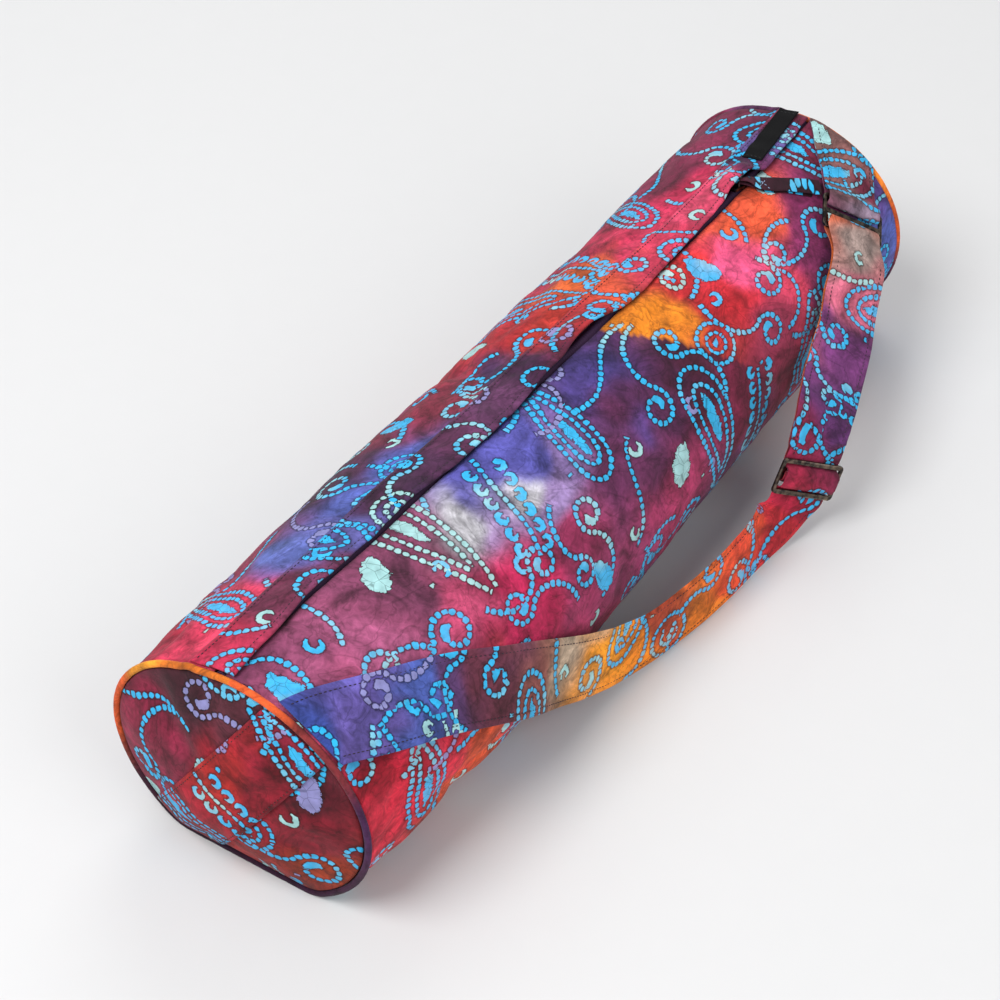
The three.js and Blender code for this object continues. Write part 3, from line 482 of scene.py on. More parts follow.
def strap_axes(distance):
    line = size.strap_line
    t = line.place(distance)
    i = np.clip(np.floor(t).astype(int), 0, len(size.strap_faces) - 2)
    share = ease(t - i, 0, 1)[:, None]
    face = lerp(size.strap_faces[i], size.strap_faces[i + 1], share)
    return (line.at(t), *frame_of(line.way(t), face))


def strap_place(distance, across, height):
    """On the route, and straight through the slider, whose metal keeps the strap flat."""
    away = distance - size.strap_slider_at
    origin, _, side, face = strap_axes(distance)
    reach = np.where(away < 0, SWING_BEFORE, SWING_AFTER)
    swing = 1 - ease(np.abs(away), size.frame_length / 2, reach)
    side = unit(lerp(side, size.slider[2], swing[:, None]))
    on_route = origin + across[:, None] * side + height[:, None] * face
    straight = placed(size.slider, away, across, height)
    share = 1 - ease(np.abs(away), size.frame_length * 0.6, size.frame_length * 1.1)
    return lerp(on_route, straight, share[:, None])


def tab_place(along, across, lift):
    share = ease(along, TAB_REACH * 0.2, TAB_REACH - size.bar_pitch - BAR_WIDTH)[:, None]
    origin = tab_patch(TAB_REACH, 0, 0)
    side = np.sign((tab_patch(TAB_REACH, 12, 0) - origin) @ size.ring[2])
    on_frame = placed(size.ring, along - TAB_REACH, side * across, lift - RING_LIFT)
    return lerp(tab_patch(along, across, lift), on_frame, share)


# Meshes


def new_object(name, mesh):
    piece = bpy.data.objects.new(name, mesh)
    bpy.context.scene.collection.objects.link(piece)
    return piece


def finish_piece(piece, material, slot, *nodes):
    """Gives a piece its material and lets it stand for its CAD nodes. The slot argument is not used."""
    piece.data.materials.append(material)
    piece.data.shade_smooth()
    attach(piece, "root")
    if nodes:
        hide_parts(*nodes)
    return piece


def sheet(name, rows, columns, place, flat):
    """A grid of cloth: place(s, t) gives its points and flat(s, t) its millimetres on the uncut cloth."""
    bm = bmesh.new()
    bmesh.ops.create_grid(bm, x_segments=rows, y_segments=columns, size=0.5)
    mesh = bpy.data.meshes.new(name)
    bm.to_mesh(mesh)
    bm.free()
    corners = np.zeros(len(mesh.vertices) * 3, np.float32)
    mesh.vertices.foreach_get("co", corners)
    s, t = corners.reshape(-1, 3)[:, :2].astype(float).T + 0.5
    mesh.vertices.foreach_set("co", (place(s, t) * MM).astype(np.float32).ravel())
    owner = np.zeros(len(mesh.loops), np.int32)
    mesh.loops.foreach_get("vertex_index", owner)
    layer = mesh.uv_layers.new(name="cloth")
    layer.uv.foreach_set("vector", np.stack(flat(s, t), -1)[owner].astype(np.float32).ravel())
    mesh.update()
    return new_object(name, mesh)


def weld(piece, close_ends=False):
    """Joins a rolled grid along its seam, closes its ends and turns its faces outwards."""
    bm = bmesh.new()
    bm.from_mesh(piece.data)
    bmesh.ops.remove_doubles(bm, verts=bm.verts, dist=0.00002)
    if close_ends:
        rims = [edge for edge in bm.edges if edge.is_boundary]
        bmesh.ops.holes_fill(bm, edges=rims, sides=0)
    bmesh.ops.recalc_face_normals(bm, faces=bm.faces)
    bm.to_mesh(piece.data)
    bm.free()
    piece.data.update()
    return piece


def turn_over(piece):
    """Turns a sheet's faces the other way."""
    bm = bmesh.new()
    bm.from_mesh(piece.data)
    bmesh.ops.reverse_faces(bm, faces=bm.faces)
    bm.to_mesh(piece.data)
    bm.free()


def thicken(piece, thickness):
    """Cloth thickness on the inner side of a sheet."""
    solid = piece.modifiers.new("thickness", "SOLIDIFY")
    solid.thickness = thickness * MM
    solid.offset = -1
    solid.use_even_offset = False
    return piece


def half_turn(along, height, radius, forward):
    angles = np.linspace(0, math.pi, 9)
    return [(along + forward * radius * math.sin(a), height + radius * math.cos(a)) for a in angles]


def ribbon(name, profile, thickness, width_at, place, step, flat_from):
    """A strip of doubled cloth along a profile of (along, height) points; it may fold back on itself."""
    line = Line([(a, h) for a, h in profile], 12)
    rows = max(int(line.lengths[-1] / step), 8)
    columns = 28

    def section(t):
        turn = 2 * math.pi * t
        across = np.sign(np.cos(turn)) * np.abs(np.cos(turn)) ** 0.6
        body = np.sqrt(np.clip(1 - np.abs(across) ** 9, 0, 1))
        return across, np.where(np.sin(turn) >= 0, body, -body)

    def at(s, t):
        place_on_line = line.place(s * line.lengths[-1])
        middle = line.at(place_on_line)
        way = line.way(place_on_line)
        across, side = section(t)
        width = width_at(middle[:, 0])
        groove = np.exp(-((np.abs(across) * width / 2 - (width / 2 - STITCH_INSET)) / 0.9) ** 2)
        ripple = noise(s * line.lengths[-1] / 21, across * 1.3 + 5, 53)
        half = side * (thickness / 2 - 0.2 * groove) + 0.3 * ripple
        return place(middle[:, 0] - way[:, 1] * half, across * width / 2, middle[:, 1] + way[:, 0] * half)

    def flat(s, t):
        across, side = section(t)
        down = np.where(side >= 0, -across, across + 2) * width_at(np.zeros(1)) / 2
        return flat_from[0] + s * line.lengths[-1], flat_from[1] + down

    return weld(sheet(name, rows, columns, at, flat), close_ends=True)


# Batik print: charted curves of beads, strokes and leaves over the flat cloth

BEADS, STROKE, LEAF = 0, 1, 2
SKY, MINT, LILAC = 0, 1, 2
PLACE, WAY, WALKED, LENGTH, HALF, STYLE, TONE, CURVE = slice(0, 2), slice(2, 4), 4, 5, 6, 7, 8, 9
TILE = (236, 196)
MARK_REACH = 30
BEAD_PITCH = 5

# One repeat of the print, in millimetres: figure, x, y, heading, size, tone.
FIGURES = (
    ("hook", 22, 30, 40, 14, SKY),
    ("hook", 70, 14, 205, 13, SKY),
    ("drop", 62, 82, 96, 50, SKY),
    ("comb", 116, 62, 82, 34, SKY),
    ("leaf", 20, 84, 60, 15, MINT),
    ("hook", 26, 130, 300, 15, SKY),
    ("vine", 18, 178, 10, 46, SKY),
    ("hook", 158, 18, 130, 13, SKY),
    ("flower", 106, 128, 0, 15, SKY),
    ("hook", 152, 106, 20, 14, SKY),
    ("hook", 78, 158, 150, 13, SKY),
    ("curl", 50, 116, 70, 5, SKY),
    ("curl", 134, 150, 190, 5, MINT),
    ("drop", 194, 66, 250, 42, SKY),
    ("leaf", 150, 172, 100, 13, SKY),
    ("hook", 208, 140, 120, 14, SKY),
    ("hook", 230, 98, 90, 12, LILAC),
    ("hook", 178, 134, 260, 13, SKY),
    ("hook", 126, 188, 340, 12, SKY),
    ("curl", 94, 28, 30, 5, SKY),
    ("curl", 226, 24, 140, 5, MINT),
    ("curl", 190, 176, 100, 5, SKY),
    ("curl", 44, 58, 250, 4.5, SKY),
    ("dot", 132, 92, 0, 3.4, SKY),
    ("dot", 60, 190, 0, 3, SKY),
    ("dot", 90, 104, 0, 2.6, MINT),
    ("hook", 108, 22, 60, 12, SKY),
    ("dot", 168, 44, 0, 3, SKY),
    ("dot", 38, 60, 0, 2.6, MINT),
    ("vine", 206, 4, 60, 34, SKY),
)


def swirl(radius, turns, tail, bend):
    """Points of a spiral that unwinds from its middle and runs out into a curved tail."""
    angle = np.linspace(0.6, 2 * math.pi * turns, 60)
    reach = radius * (0.22 + 0.78 * (angle / angle[-1]) ** 0.9)
    points = np.stack([reach * np.cos(angle), reach * np.sin(angle)], -1)
    heading = angle[-1] + math.pi / 2
    steps = np.linspace(0, 1, 40)[1:]
    turning = heading + bend * steps + 0.8 / (1 + steps * 8) - 0.8
    walk = np.cumsum(np.stack([np.cos(turning), np.sin(turning)], -1), 0) * tail / 39
    return np.vstack([points, points[-1] + walk])


def teardrop(length, width):
    angle = np.linspace(0.35, 2 * math.pi - 0.35, 70)
    x = -np.cos(angle) * length
    y = np.sin(angle) * width * (0.5 - 0.5 * np.cos(angle) * 0.55) * 1.3
    return np.stack([x, y], -1)


def figure_curves(kind, scale):
    """Curves of one figure: points, half width, and whether it is beads, a stroke or a leaf."""
    if kind == "hook":
        points = swirl(scale, 1.3, scale * 4.2, -1.7)
        return [(points[:16], 2.7, STROKE), (points[16:], 1.85, BEADS)]
    if kind == "vine":
        x = np.linspace(-scale, scale, 60)
        return [(np.stack([x, 9 * np.sin(x / 17)], -1), 1.7, BEADS)]
    if kind == "drop":
        middle = np.array([0.05 * scale, 0])
        return [
            (teardrop(scale, scale * 0.48), 1.75, BEADS),
            (teardrop(scale * 0.7, scale * 0.28) + middle, 1.6, BEADS),
            (np.stack([np.linspace(-0.1, 0.62, 30) * scale, np.zeros(30)], -1), 0.085 * scale, LEAF),
        ]
    if kind == "comb":
        x = np.linspace(-scale, scale, 50)
        curves = [(np.stack([x, 2.5 * np.sin(x / 15)], -1), 1.6, BEADS)]
        angle = np.linspace(-0.3, 4.3, 26)
        for start in np.arange(-scale + 6, scale, 11.5):
            for side in (-1, 1):
                curl = np.stack([3.5 * np.cos(angle) + start, side * (3.5 * np.sin(angle) + 10.5)], -1)
                curves.append((curl, 1.6, STROKE))
        return curves
    if kind == "curl":
        angle = np.linspace(0, 4.4, 26)
        return [(np.stack([scale * np.cos(angle), scale * 0.85 * np.sin(angle)], -1), 1.6, STROKE)]
    if kind == "flower":
        angle = np.linspace(0.1, 2 * math.pi - 0.1, 60)
        ring = np.stack([np.cos(angle), np.sin(angle)], -1)
        return [(ring * scale, 1.6, BEADS), (ring * scale * 0.5, 1.4, BEADS), (ring * 0.8, 2.6, STROKE)]
    if kind == "leaf":
        x = np.linspace(-scale, scale, 30)
        return [(np.stack([x, 0.1 * scale * np.cos(x / scale * 2)], -1), scale * 0.62, LEAF)]
    return [(np.array([[-0.8, 0], [0, 0], [0.8, 0.0]]), scale, STROKE)]


def print_curves(low, high):
    """Every curve of the print that touches a stretch of cloth, sampled closely."""
    rng = np.random.default_rng(7)
    samples = []
    number = 0
    for column in range(math.floor(low[0] / TILE[0]) - 1, math.ceil(high[0] / TILE[0]) + 1):
        for row in range(math.floor(low[1] / TILE[1]) - 1, math.ceil(high[1] / TILE[1]) + 1):
            drop = TILE[1] / 2 * (column % 2)
            for kind, x, y, heading, scale, tone in FIGURES:
                angle = math.radians(heading + rng.uniform(-14, 14))
                centre = np.array([x + column * TILE[0], y + row * TILE[1] + drop]) + rng.uniform(-4, 4, 2)
                scale = scale * rng.uniform(0.9, 1.12)
                if rng.uniform() < 0.12:
                    tone = rng.integers(0, 3)
                turned = np.array([[math.cos(angle), math.sin(angle)], [-math.sin(angle), math.cos(angle)]])
                for points, half, style in figure_curves(kind, scale):
                    line = Line(points @ turned + centre, 6)
                    count = max(int(line.lengths[-1] / 1.3), 4)
                    walked = np.linspace(0, line.lengths[-1], count)
                    t = line.place(walked)
                    place, way = line.at(t), line.way(t)
                    number += 1
                    data = np.zeros((count, CURVE + 1))
                    data[:, PLACE] = place
                    data[:, WAY] = way
                    data[:, WALKED] = walked
                    data[:, LENGTH:] = line.lengths[-1], half, style, tone, number
                    samples.append(data)
    samples = np.vstack(samples)
    after_low = samples[:, PLACE] > np.array(low) - MARK_REACH
    before_high = samples[:, PLACE] < np.array(high) + MARK_REACH
    return samples[np.all(after_low & before_high, 1)]


def mark_width(samples, walked):
    """Half width of the mark at a distance along its curve."""
    length, half = samples[..., LENGTH], samples[..., HALF]
    share = np.clip(walked / length, 0, 1)
    leaf = half * np.sqrt(np.clip(4 * share * (1 - share), 0, 1)) * (1.15 - 0.35 * share)
    to_end = np.minimum(walked, length - walked)
    fat_end = half * (1 + 0.35 * np.exp(-walked / 4)) * np.sqrt(np.clip(to_end / 2.5, 0.04, 1))
    stroke_or_beads = np.where(samples[..., STYLE] == STROKE, fat_end, half)
    return np.where(samples[..., STYLE] == LEAF, leaf, stroke_or_beads)


def print_cloth(piece, pools, figures=True, seed=0):
    """Writes the print on a piece: dye colours, and for every face the nearest drawn mark."""
    mesh = piece.data
    loops, faces = len(mesh.loops), len(mesh.polygons)
    flat = np.zeros(loops * 2, np.float32)
    mesh.uv_layers["cloth"].uv.foreach_get("vector", flat)
    flat = flat.reshape(-1, 2).astype(float)
    colours = dye(flat, pools, seed)
    layer = mesh.color_attributes.new("dye", "FLOAT_COLOR", "CORNER")
    layer.data.foreach_set("color", colours.astype(np.float32).ravel())
    stroke = np.full((loops, 2), 50.0)
    shape = np.tile([1.0, -50.0], (loops, 1))
    mark = np.zeros((faces, 3))
    if figures:
        totals = np.zeros(faces, np.int32)
        mesh.polygons.foreach_get("loop_total", totals)
        owner = np.repeat(np.arange(faces), totals)
        middle = np.stack([np.bincount(owner, flat[:, k], faces) / totals for k in (0, 1)], -1)
        samples = print_curves(flat.min(0), flat.max(0))
        width = mark_width(samples, samples[:, WALKED])
        best = nearest_samples(middle, samples, width)
        mark = samples[best][:, [STYLE, TONE, CURVE]]
        mark[:, 2] = np.mod(mark[:, 2] * 0.618, 1)
        around = np.clip(best[owner][:, None] + np.arange(-7, 8), 0, len(samples) - 1)
        same = samples[around][..., CURVE] == samples[best[owner]][:, None, CURVE]
        away = np.linalg.norm(samples[around][..., PLACE] - flat[:, None], axis=-1) + 1000 * ~same
        chosen = samples[around[np.arange(loops), away.argmin(1)]]
        offset, way = flat - chosen[:, PLACE], chosen[:, WAY]
        along = chosen[:, WALKED] + (offset * way).sum(1)
        stroke = np.stack([along, offset[:, 1] * way[:, 0] - offset[:, 0] * way[:, 1]], -1)
        to_end = np.minimum(along, chosen[:, LENGTH] - along) + 1
        shape = np.stack([mark_width(chosen, along), to_end], -1)
    for name, values in (("stroke", stroke), ("shape", shape)):
        mesh.uv_layers.new(name=name).uv.foreach_set("vector", values.astype(np.float32).ravel())
    layer = mesh.attributes.new("mark", "FLOAT_VECTOR", "FACE")
    layer.data.foreach_set("vector", mark.astype(np.float32).ravel())
    return piece


def nearest_samples(points, samples, width):
    """Index of the drawn sample whose edge is nearest to each point, found slab by slab."""
    best = np.zeros(len(points), int)
    slab = 16
    for start in np.arange(points[:, 0].min(), points[:, 0].max() + slab, slab):
        mine = np.nonzero((points[:, 0] >= start) & (points[:, 0] < start + slab))[0]
        close = np.nonzero((samples[:, 0] > start - 34) & (samples[:, 0] < start + slab + 34))[0]
        if not len(mine) or not len(close):
            continue
        for part in np.array_split(mine, max(len(mine) * len(close) // 4000000, 1)):
            gaps = np.linalg.norm(points[part, None] - samples[None, close, PLACE], axis=-1) - width[close]
            best[part] = close[gaps.argmin(1)]
    return best


def linear(colour):
    """Linear colour of an sRGB hex value."""
    parts = [int(colour[i : i + 2], 16) / 255 for i in (1, 3, 5)]
    return [v / 12.92 if v <= 0.04045 else ((v + 0.055) / 1.055) ** 2.4 for v in parts] + [1.0]


def past_seam(x, y):
    """True beyond the seam that joins two dyed panels across the tube's front."""
    return (y > 440) & (x + 0.69 * (y - 600) > 40)


def dye(flat, pools, seed):
    """Dye colours that pooled on the cloth and ran into each other: pools are x, y, reach and colour."""
    beyond = past_seam(flat[:, 0], flat[:, 1])
    x = flat[:, 0] + 26 * noise(flat[:, 0] / 46, flat[:, 1] / 46, 61 + seed)
    y = flat[:, 1] + 26 * noise(flat[:, 0] / 46, flat[:, 1] / 46, 67 + seed)
    x = x + 9 * noise(flat[:, 0] / 15, flat[:, 1] / 15, 71 + seed)
    y = y + 9 * noise(flat[:, 0] / 15, flat[:, 1] / 15, 73 + seed)
    total = np.zeros((len(flat), 4))
    weights = np.zeros((len(flat), 1))
    for pool_x, pool_y, reach, colour in pools:
        away = ((x - pool_x) ** 2 + (y - pool_y) ** 2) / reach ** 2
        other_panel = (beyond != past_seam(pool_x, pool_y)) & (flat[:, 1] > 440)
        weight = (np.where(other_panel, 0.0002, 1) / (0.06 + away) ** 2.2)[:, None]
        total += weight * np.array(linear(colour))
        weights += weight
    return total / weights


def body_pools():
    """Dye pools of the tube: along, turn in degrees from the top towards +Y, reach in millimetres, colour."""
    table = (
        (-0.97, 66, 42, "#a81c36"),
        (-0.9, 28, 34, "#dc3f5f"),
        (-0.88, -2, 30, "#6d3350"),
        (-0.8, -30, 34, "#a9557c"),
        (-0.86, -84, 40, "#f0334c"),
        (-0.96, -64, 26, "#b51a30"),
        (-0.7, -108, 40, "#e0552c"),
        (-0.7, 46, 36, "#8f2c4c"),
        (-0.66, 20, 30, "#5c6ab2"),
        (-0.6, 78, 40, "#7d2440"),
        (-0.62, -14, 30, "#7c3d5c"),
        (-0.6, -42, 30, "#d4517a"),
        (-0.52, -66, 34, "#c22656"),
        (-0.42, 50, 44, "#4b2440"),
        (-0.42, 6, 36, "#5767ba"),
        (-0.38, -18, 17, "#d9d6dd"),
        (-0.3, -38, 26, "#a58ac0"),
        (-0.33, -62, 34, "#a3345f"),
        (-0.27, -4, 28, "#5a58ae"),
        (-0.2, -28, 24, "#8d74ae"),
        (-0.2, 40, 36, "#8a2b42"),
        (-0.12, 14, 28, "#4d2f58"),
        (-0.1, -52, 34, "#6b2f58"),
        (0.0, -20, 30, "#4a3c80"),
        (0.0, -84, 36, "#b43a66"),
        (0.04, 46, 40, "#c22a35"),
        (0.08, 12, 26, "#d63d33"),
        (0.1, -44, 30, "#54254a"),
        (0.2, -14, 24, "#f98f22"),
        (0.26, 0, 24, "#ff4f2c"),
        (0.2, -38, 22, "#4a1a30"),
        (0.26, 34, 26, "#ea6a30"),
        (0.24, -66, 34, "#7a2240"),
        (0.36, -34, 28, "#d42a35"),
        (0.4, 56, 44, "#b22a4a"),
        (0.42, 18, 32, "#e23c62"),
        (0.46, -12, 26, "#ff3a3c"),
        (0.52, -28, 26, "#ff6092"),
        (0.46, -76, 36, "#93304c"),
        (0.56, -54, 26, "#e94866"),
        (0.64, 14, 32, "#d12f58"),
        (0.66, -8, 22, "#f8603c"),
        (0.68, -78, 34, "#7a2c58"),
        (0.74, -36, 26, "#8a2f60"),
        (0.76, 48, 44, "#84284a"),
        (0.88, 16, 34, "#6d2644"),
        (0.86, -14, 26, "#8a2c4c"),
        (0.95, -44, 26, "#6a4f9a"),
        (0.9, -76, 34, "#5a6cc0"),
        (-0.75, 140, 70, "#8c2648"),
        (-0.3, 128, 70, "#5b4a8c"),
        (0.2, 140, 70, "#c23a44"),
        (0.7, 130, 70, "#6d2c58"),
        (-0.5, -150, 70, "#b0385a"),
        (0.1, -140, 60, "#5a3a70"),
        (0.6, -140, 60, "#a8384e"),
    )
    for along, turn, reach, colour in table:
        yield along * size.half_length, math.radians(turn % 360) * size.half_width, reach, colour


def cloth_piece(piece, pools, slot, *nodes, figures=True, seed=0):
    print_cloth(piece, list(pools), figures, seed)
    return finish_piece(piece, bpy.data.materials.get("batik_cotton") or batik_cotton(), slot, *nodes)


# Materials


def add(tree, kind, settings, *inputs, **named):
    """Adds a node with its settings, and links or sets its inputs in order, by identifier or by name."""
    made = tree.nodes.new(kind)
    for key, value in ({"operation": settings} if isinstance(settings, str) else settings).items():
        setattr(made, key, value)
    by_identifier = {socket.identifier: socket for socket in made.inputs}
    sockets = [(made.inputs[i], value) for i, value in enumerate(inputs)]
    for key, value in named.items():
        sockets.append((by_identifier.get(key) or made.inputs[key.replace("_", " ")], value))
    for socket, value in sockets:
        if isinstance(value, bpy.types.Node):
            value = next(output for output in value.outputs if output.enabled)
        if isinstance(value, bpy.types.NodeSocket):
            tree.links.new(value, socket)
        elif value is not None:
            socket.default_value = value
    return made


MATH = "ShaderNodeMath"
VECTOR = "ShaderNodeVectorMath"
NOISE = "ShaderNodeTexNoise"
RANGE = "ShaderNodeMapRange"
MIX = "ShaderNodeMix"
SPLIT = "ShaderNodeSeparateXYZ"
PRINCIPLED = "ShaderNodeBsdfPrincipled"
BLEND = {"data_type": "RGBA"}


def panel_colour(name):
    """A colour that the panel offers."""
    return (*getattr(bpy.context.scene.matbag_colours, name), 1)


def new_material(name):
    material = bpy.data.materials.new(name)
    material.use_nodes = True
    tree = material.node_tree
    tree.nodes.clear()
    return material, tree


def batik_cotton():
    """Plain-woven cotton dyed over wax: matt, soft clouds of dye, bright kept marks with dark edges."""
    material, tree = new_material("batik_cotton")
    cloth = add(tree, "ShaderNodeUVMap", {"uv_map": "cloth"})
    stroke = add(tree, SPLIT, {}, add(tree, "ShaderNodeUVMap", {"uv_map": "stroke"}))
    shape = add(tree, SPLIT, {}, add(tree, "ShaderNodeUVMap", {"uv_map": "shape"}))
    mark = add(tree, "ShaderNodeAttribute", {"attribute_name": "mark"})
    mark = add(tree, SPLIT, {}, mark.outputs["Vector"])
    dyed = add(tree, "ShaderNodeAttribute", {"attribute_name": "dye"})
    along, aside = stroke.outputs[0], add(tree, MATH, "ABSOLUTE", stroke.outputs[1])
    half, inside = shape.outputs[0], shape.outputs[1]
    kind, tone, seed = mark.outputs[0], mark.outputs[1], mark.outputs[2]

    # Beads: each with its own length and width.
    walked = add(tree, MATH, "DIVIDE", along, BEAD_PITCH)
    walked = add(tree, MATH, "ADD", walked, add(tree, MATH, "MULTIPLY", seed, 9.0))
    number = add(tree, MATH, "ADD", add(tree, MATH, "FLOOR", walked), add(tree, MATH, "MULTIPLY", seed, 97.0))
    luck = add(tree, "ShaderNodeTexWhiteNoise", {"noise_dimensions": "1D"}, W=number)
    lucks = add(tree, SPLIT, {}, luck.outputs["Color"])
    from_middle = add(tree, MATH, "SUBTRACT", add(tree, MATH, "FRACT", walked), 0.5)
    from_middle = add(tree, MATH, "ABSOLUTE", from_middle)
    length = add(tree, MATH, "MULTIPLY_ADD", lucks.outputs[0], 0.09, 0.36)
    width = add(tree, MATH, "MULTIPLY", half, add(tree, MATH, "MULTIPLY_ADD", lucks.outputs[1], 0.5, 0.75))
    lengthways = add(tree, MATH, "POWER", add(tree, MATH, "DIVIDE", from_middle, length), 2.6)
    sideways = add(tree, MATH, "POWER", add(tree, MATH, "DIVIDE", aside, width), 2.6)
    round_edge = add(tree, MATH, "POWER", add(tree, MATH, "ADD", lengthways, sideways), 0.385)
    bead = add(tree, MATH, "MULTIPLY", add(tree, MATH, "SUBTRACT", round_edge, 1.0), width)

    # Strokes and leaves: filled up to their half width, leaves with a torn edge.
    shaky = add(tree, NOISE, {}, Vector=cloth, Scale=0.42, Detail=2.0)
    torn = add(tree, NOISE, {}, Vector=cloth, Scale=0.2, Detail=3.0, Roughness=0.7)
    wobble = add(tree, MATH, "MULTIPLY_ADD", shaky, 1.9, -0.95)
    ragged = add(tree, MATH, "MULTIPLY_ADD", torn, 9.0, -4.5)
    filled = add(tree, MATH, "SUBTRACT", aside, half)
    is_leaf = add(tree, MATH, "GREATER_THAN", kind, 1.5)
    is_beads = add(tree, MATH, "LESS_THAN", kind, 0.5)
    leaf_edge = add(tree, MATH, "MULTIPLY_ADD", is_leaf, ragged, filled)
    drawn = add(tree, MIX, {}, is_beads, None, leaf_edge, bead)
    drawn = add(tree, MATH, "ADD", drawn, wobble)
    drawn = add(tree, MATH, "MAXIMUM", drawn, add(tree, MATH, "MULTIPLY", inside, -1.0))
    wax = add(tree, RANGE, {"interpolation_type": "SMOOTHSTEP"}, drawn, 0.3, -0.3, 0.0, 1.0)
    edge = add(tree, RANGE, {"interpolation_type": "SMOOTHSTEP"}, drawn, 1.5, 0.2, 0.0, 1.0)

    # Ground: dye clouds, darker where it soaked in, with fine watery streaks and thin dark tide lines.
    cloud = add(tree, NOISE, {}, Vector=cloth, Scale=0.03, Detail=5.0, Roughness=0.6, Distortion=1.2)
    streak = add(tree, NOISE, {}, Vector=cloth, Scale=0.11, Detail=4.0, Roughness=0.65, Distortion=2.0)
    depth = add(tree, RANGE, {}, cloud, 0.32, 0.68, 0.38, 1.32)
    depth = add(tree, MATH, "MULTIPLY", depth, add(tree, RANGE, {}, streak, 0.3, 0.7, 0.66, 1.22))
    tide = add(tree, NOISE, {}, Vector=cloth, Scale=0.028, Detail=3.0, Roughness=0.55, Distortion=1.6)
    tide = add(tree, MATH, "ABSOLUTE", add(tree, MATH, "SUBTRACT", tide, 0.5))
    depth = add(tree, MATH, "MULTIPLY", depth, add(tree, RANGE, {}, tide, 0.0, 0.03, 0.66, 1.0))
    ground = add(tree, VECTOR, "SCALE", dyed.outputs["Color"], Scale=depth)

    # Wax-kept marks: sky blue, paler or lilac here and there, with a little of the ground in them.
    paler = add(tree, NOISE, {}, Vector=cloth, Scale=0.02, Detail=1.0)
    paler = add(tree, RANGE, {}, paler, 0.52, 0.72, 0.0, 1.0)
    pale = add(tree, MATH, "MAXIMUM", paler, add(tree, MATH, "COMPARE", tone, 1.0, 0.4))
    kept = add(tree, MIX, BLEND, pale, A_Color=panel_colour("marks"), B_Color=panel_colour("pale_marks"))
    is_lilac = add(tree, MATH, "COMPARE", tone, 2.0, 0.4)
    kept = add(tree, MIX, BLEND, is_lilac, A_Color=kept, B_Color=panel_colour("lilac_marks"))
    tinted = add(tree, MIX, BLEND, 0.12, A_Color=kept, B_Color=ground)
    mottle = add(tree, NOISE, {}, Vector=cloth, Scale=0.16, Detail=3.0)
    mottle = add(tree, RANGE, {}, mottle, 0.3, 0.7, 0.82, 1.2)
    painted = add(tree, VECTOR, "SCALE", tinted, Scale=mottle)
    cells = {"feature": "DISTANCE_TO_EDGE"}
    crackle = add(tree, "ShaderNodeTexVoronoi", cells, Vector=cloth, Scale=0.13)
    crack = add(tree, RANGE, {}, crackle, 0.01, 0.03, 0.55, 1.0)
    crack = add(tree, MATH, "MAXIMUM", crack, add(tree, MATH, "SUBTRACT", 1.0, is_leaf))
    painted = add(tree, VECTOR, "SCALE", painted, Scale=crack)

    outlined = add(tree, VECTOR, "SCALE", ground, Scale=add(tree, RANGE, {}, edge, 0.0, 1.0, 1.0, 0.3))
    printed = add(tree, MIX, BLEND, wax, A_Color=outlined, B_Color=painted)

    # Plain weave. Real threads are 0.3 mm apart, finer than the picture shows, so they are drawn 1 mm apart.
    # The weave's colour is painted shade: thread crowns a little lighter and the hollows between them a
    # little darker, on top of their bump.
    axes = add(tree, SPLIT, {}, cloth)
    warp = add(tree, MATH, "SINE", add(tree, MATH, "MULTIPLY", axes.outputs[0], 6.283))
    weft = add(tree, MATH, "SINE", add(tree, MATH, "MULTIPLY", axes.outputs[1], 6.283))
    weave = add(tree, MATH, "MULTIPLY", warp, weft)
    shade = add(tree, RANGE, {}, weave, -1.0, 1.0, 0.95, 1.05)
    colour = add(tree, VECTOR, "SCALE", printed, Scale=shade)
    fuzz = add(tree, NOISE, {}, Vector=cloth, Scale=0.09, Detail=4.0)
    relief = add(tree, MATH, "MULTIPLY_ADD", weave, 0.12, fuzz)
    bump = add(tree, "ShaderNodeBump", {}, Strength=0.35, Distance=0.0006, Height=relief)
    surface = add(
        tree, PRINCIPLED, {}, Base_Color=colour, Roughness=0.82, Normal=bump,
        Sheen_Weight=0.05, Sheen_Roughness=0.5, Specular_IOR_Level=0.25,
    )
    add(tree, "ShaderNodeOutputMaterial", {}, surface)
    return material


def gunmetal():
    """Die-cast zinc with a gunmetal finish: dark, satin, paler and browner where handling has worn it."""
    material, tree = new_material("gunmetal_zinc")
    place = add(tree, "ShaderNodeTexCoord", {}).outputs["Object"]
    worn = add(tree, NOISE, {}, Vector=place, Scale=260.0, Detail=3.0)
    bare = add(tree, RANGE, {}, worn, 0.4, 0.7, 0.0, 1.0)
    colour = add(tree, MIX, BLEND, bare, A_Color=panel_colour("metal"), B_Color=panel_colour("worn_metal"))
    rough = add(tree, RANGE, {}, worn, 0.3, 0.7, 0.24, 0.42)
    surface = add(tree, PRINCIPLED, {}, Base_Color=colour, Metallic=1.0, Roughness=rough)
    add(tree, "ShaderNodeOutputMaterial", {}, surface)
    return material


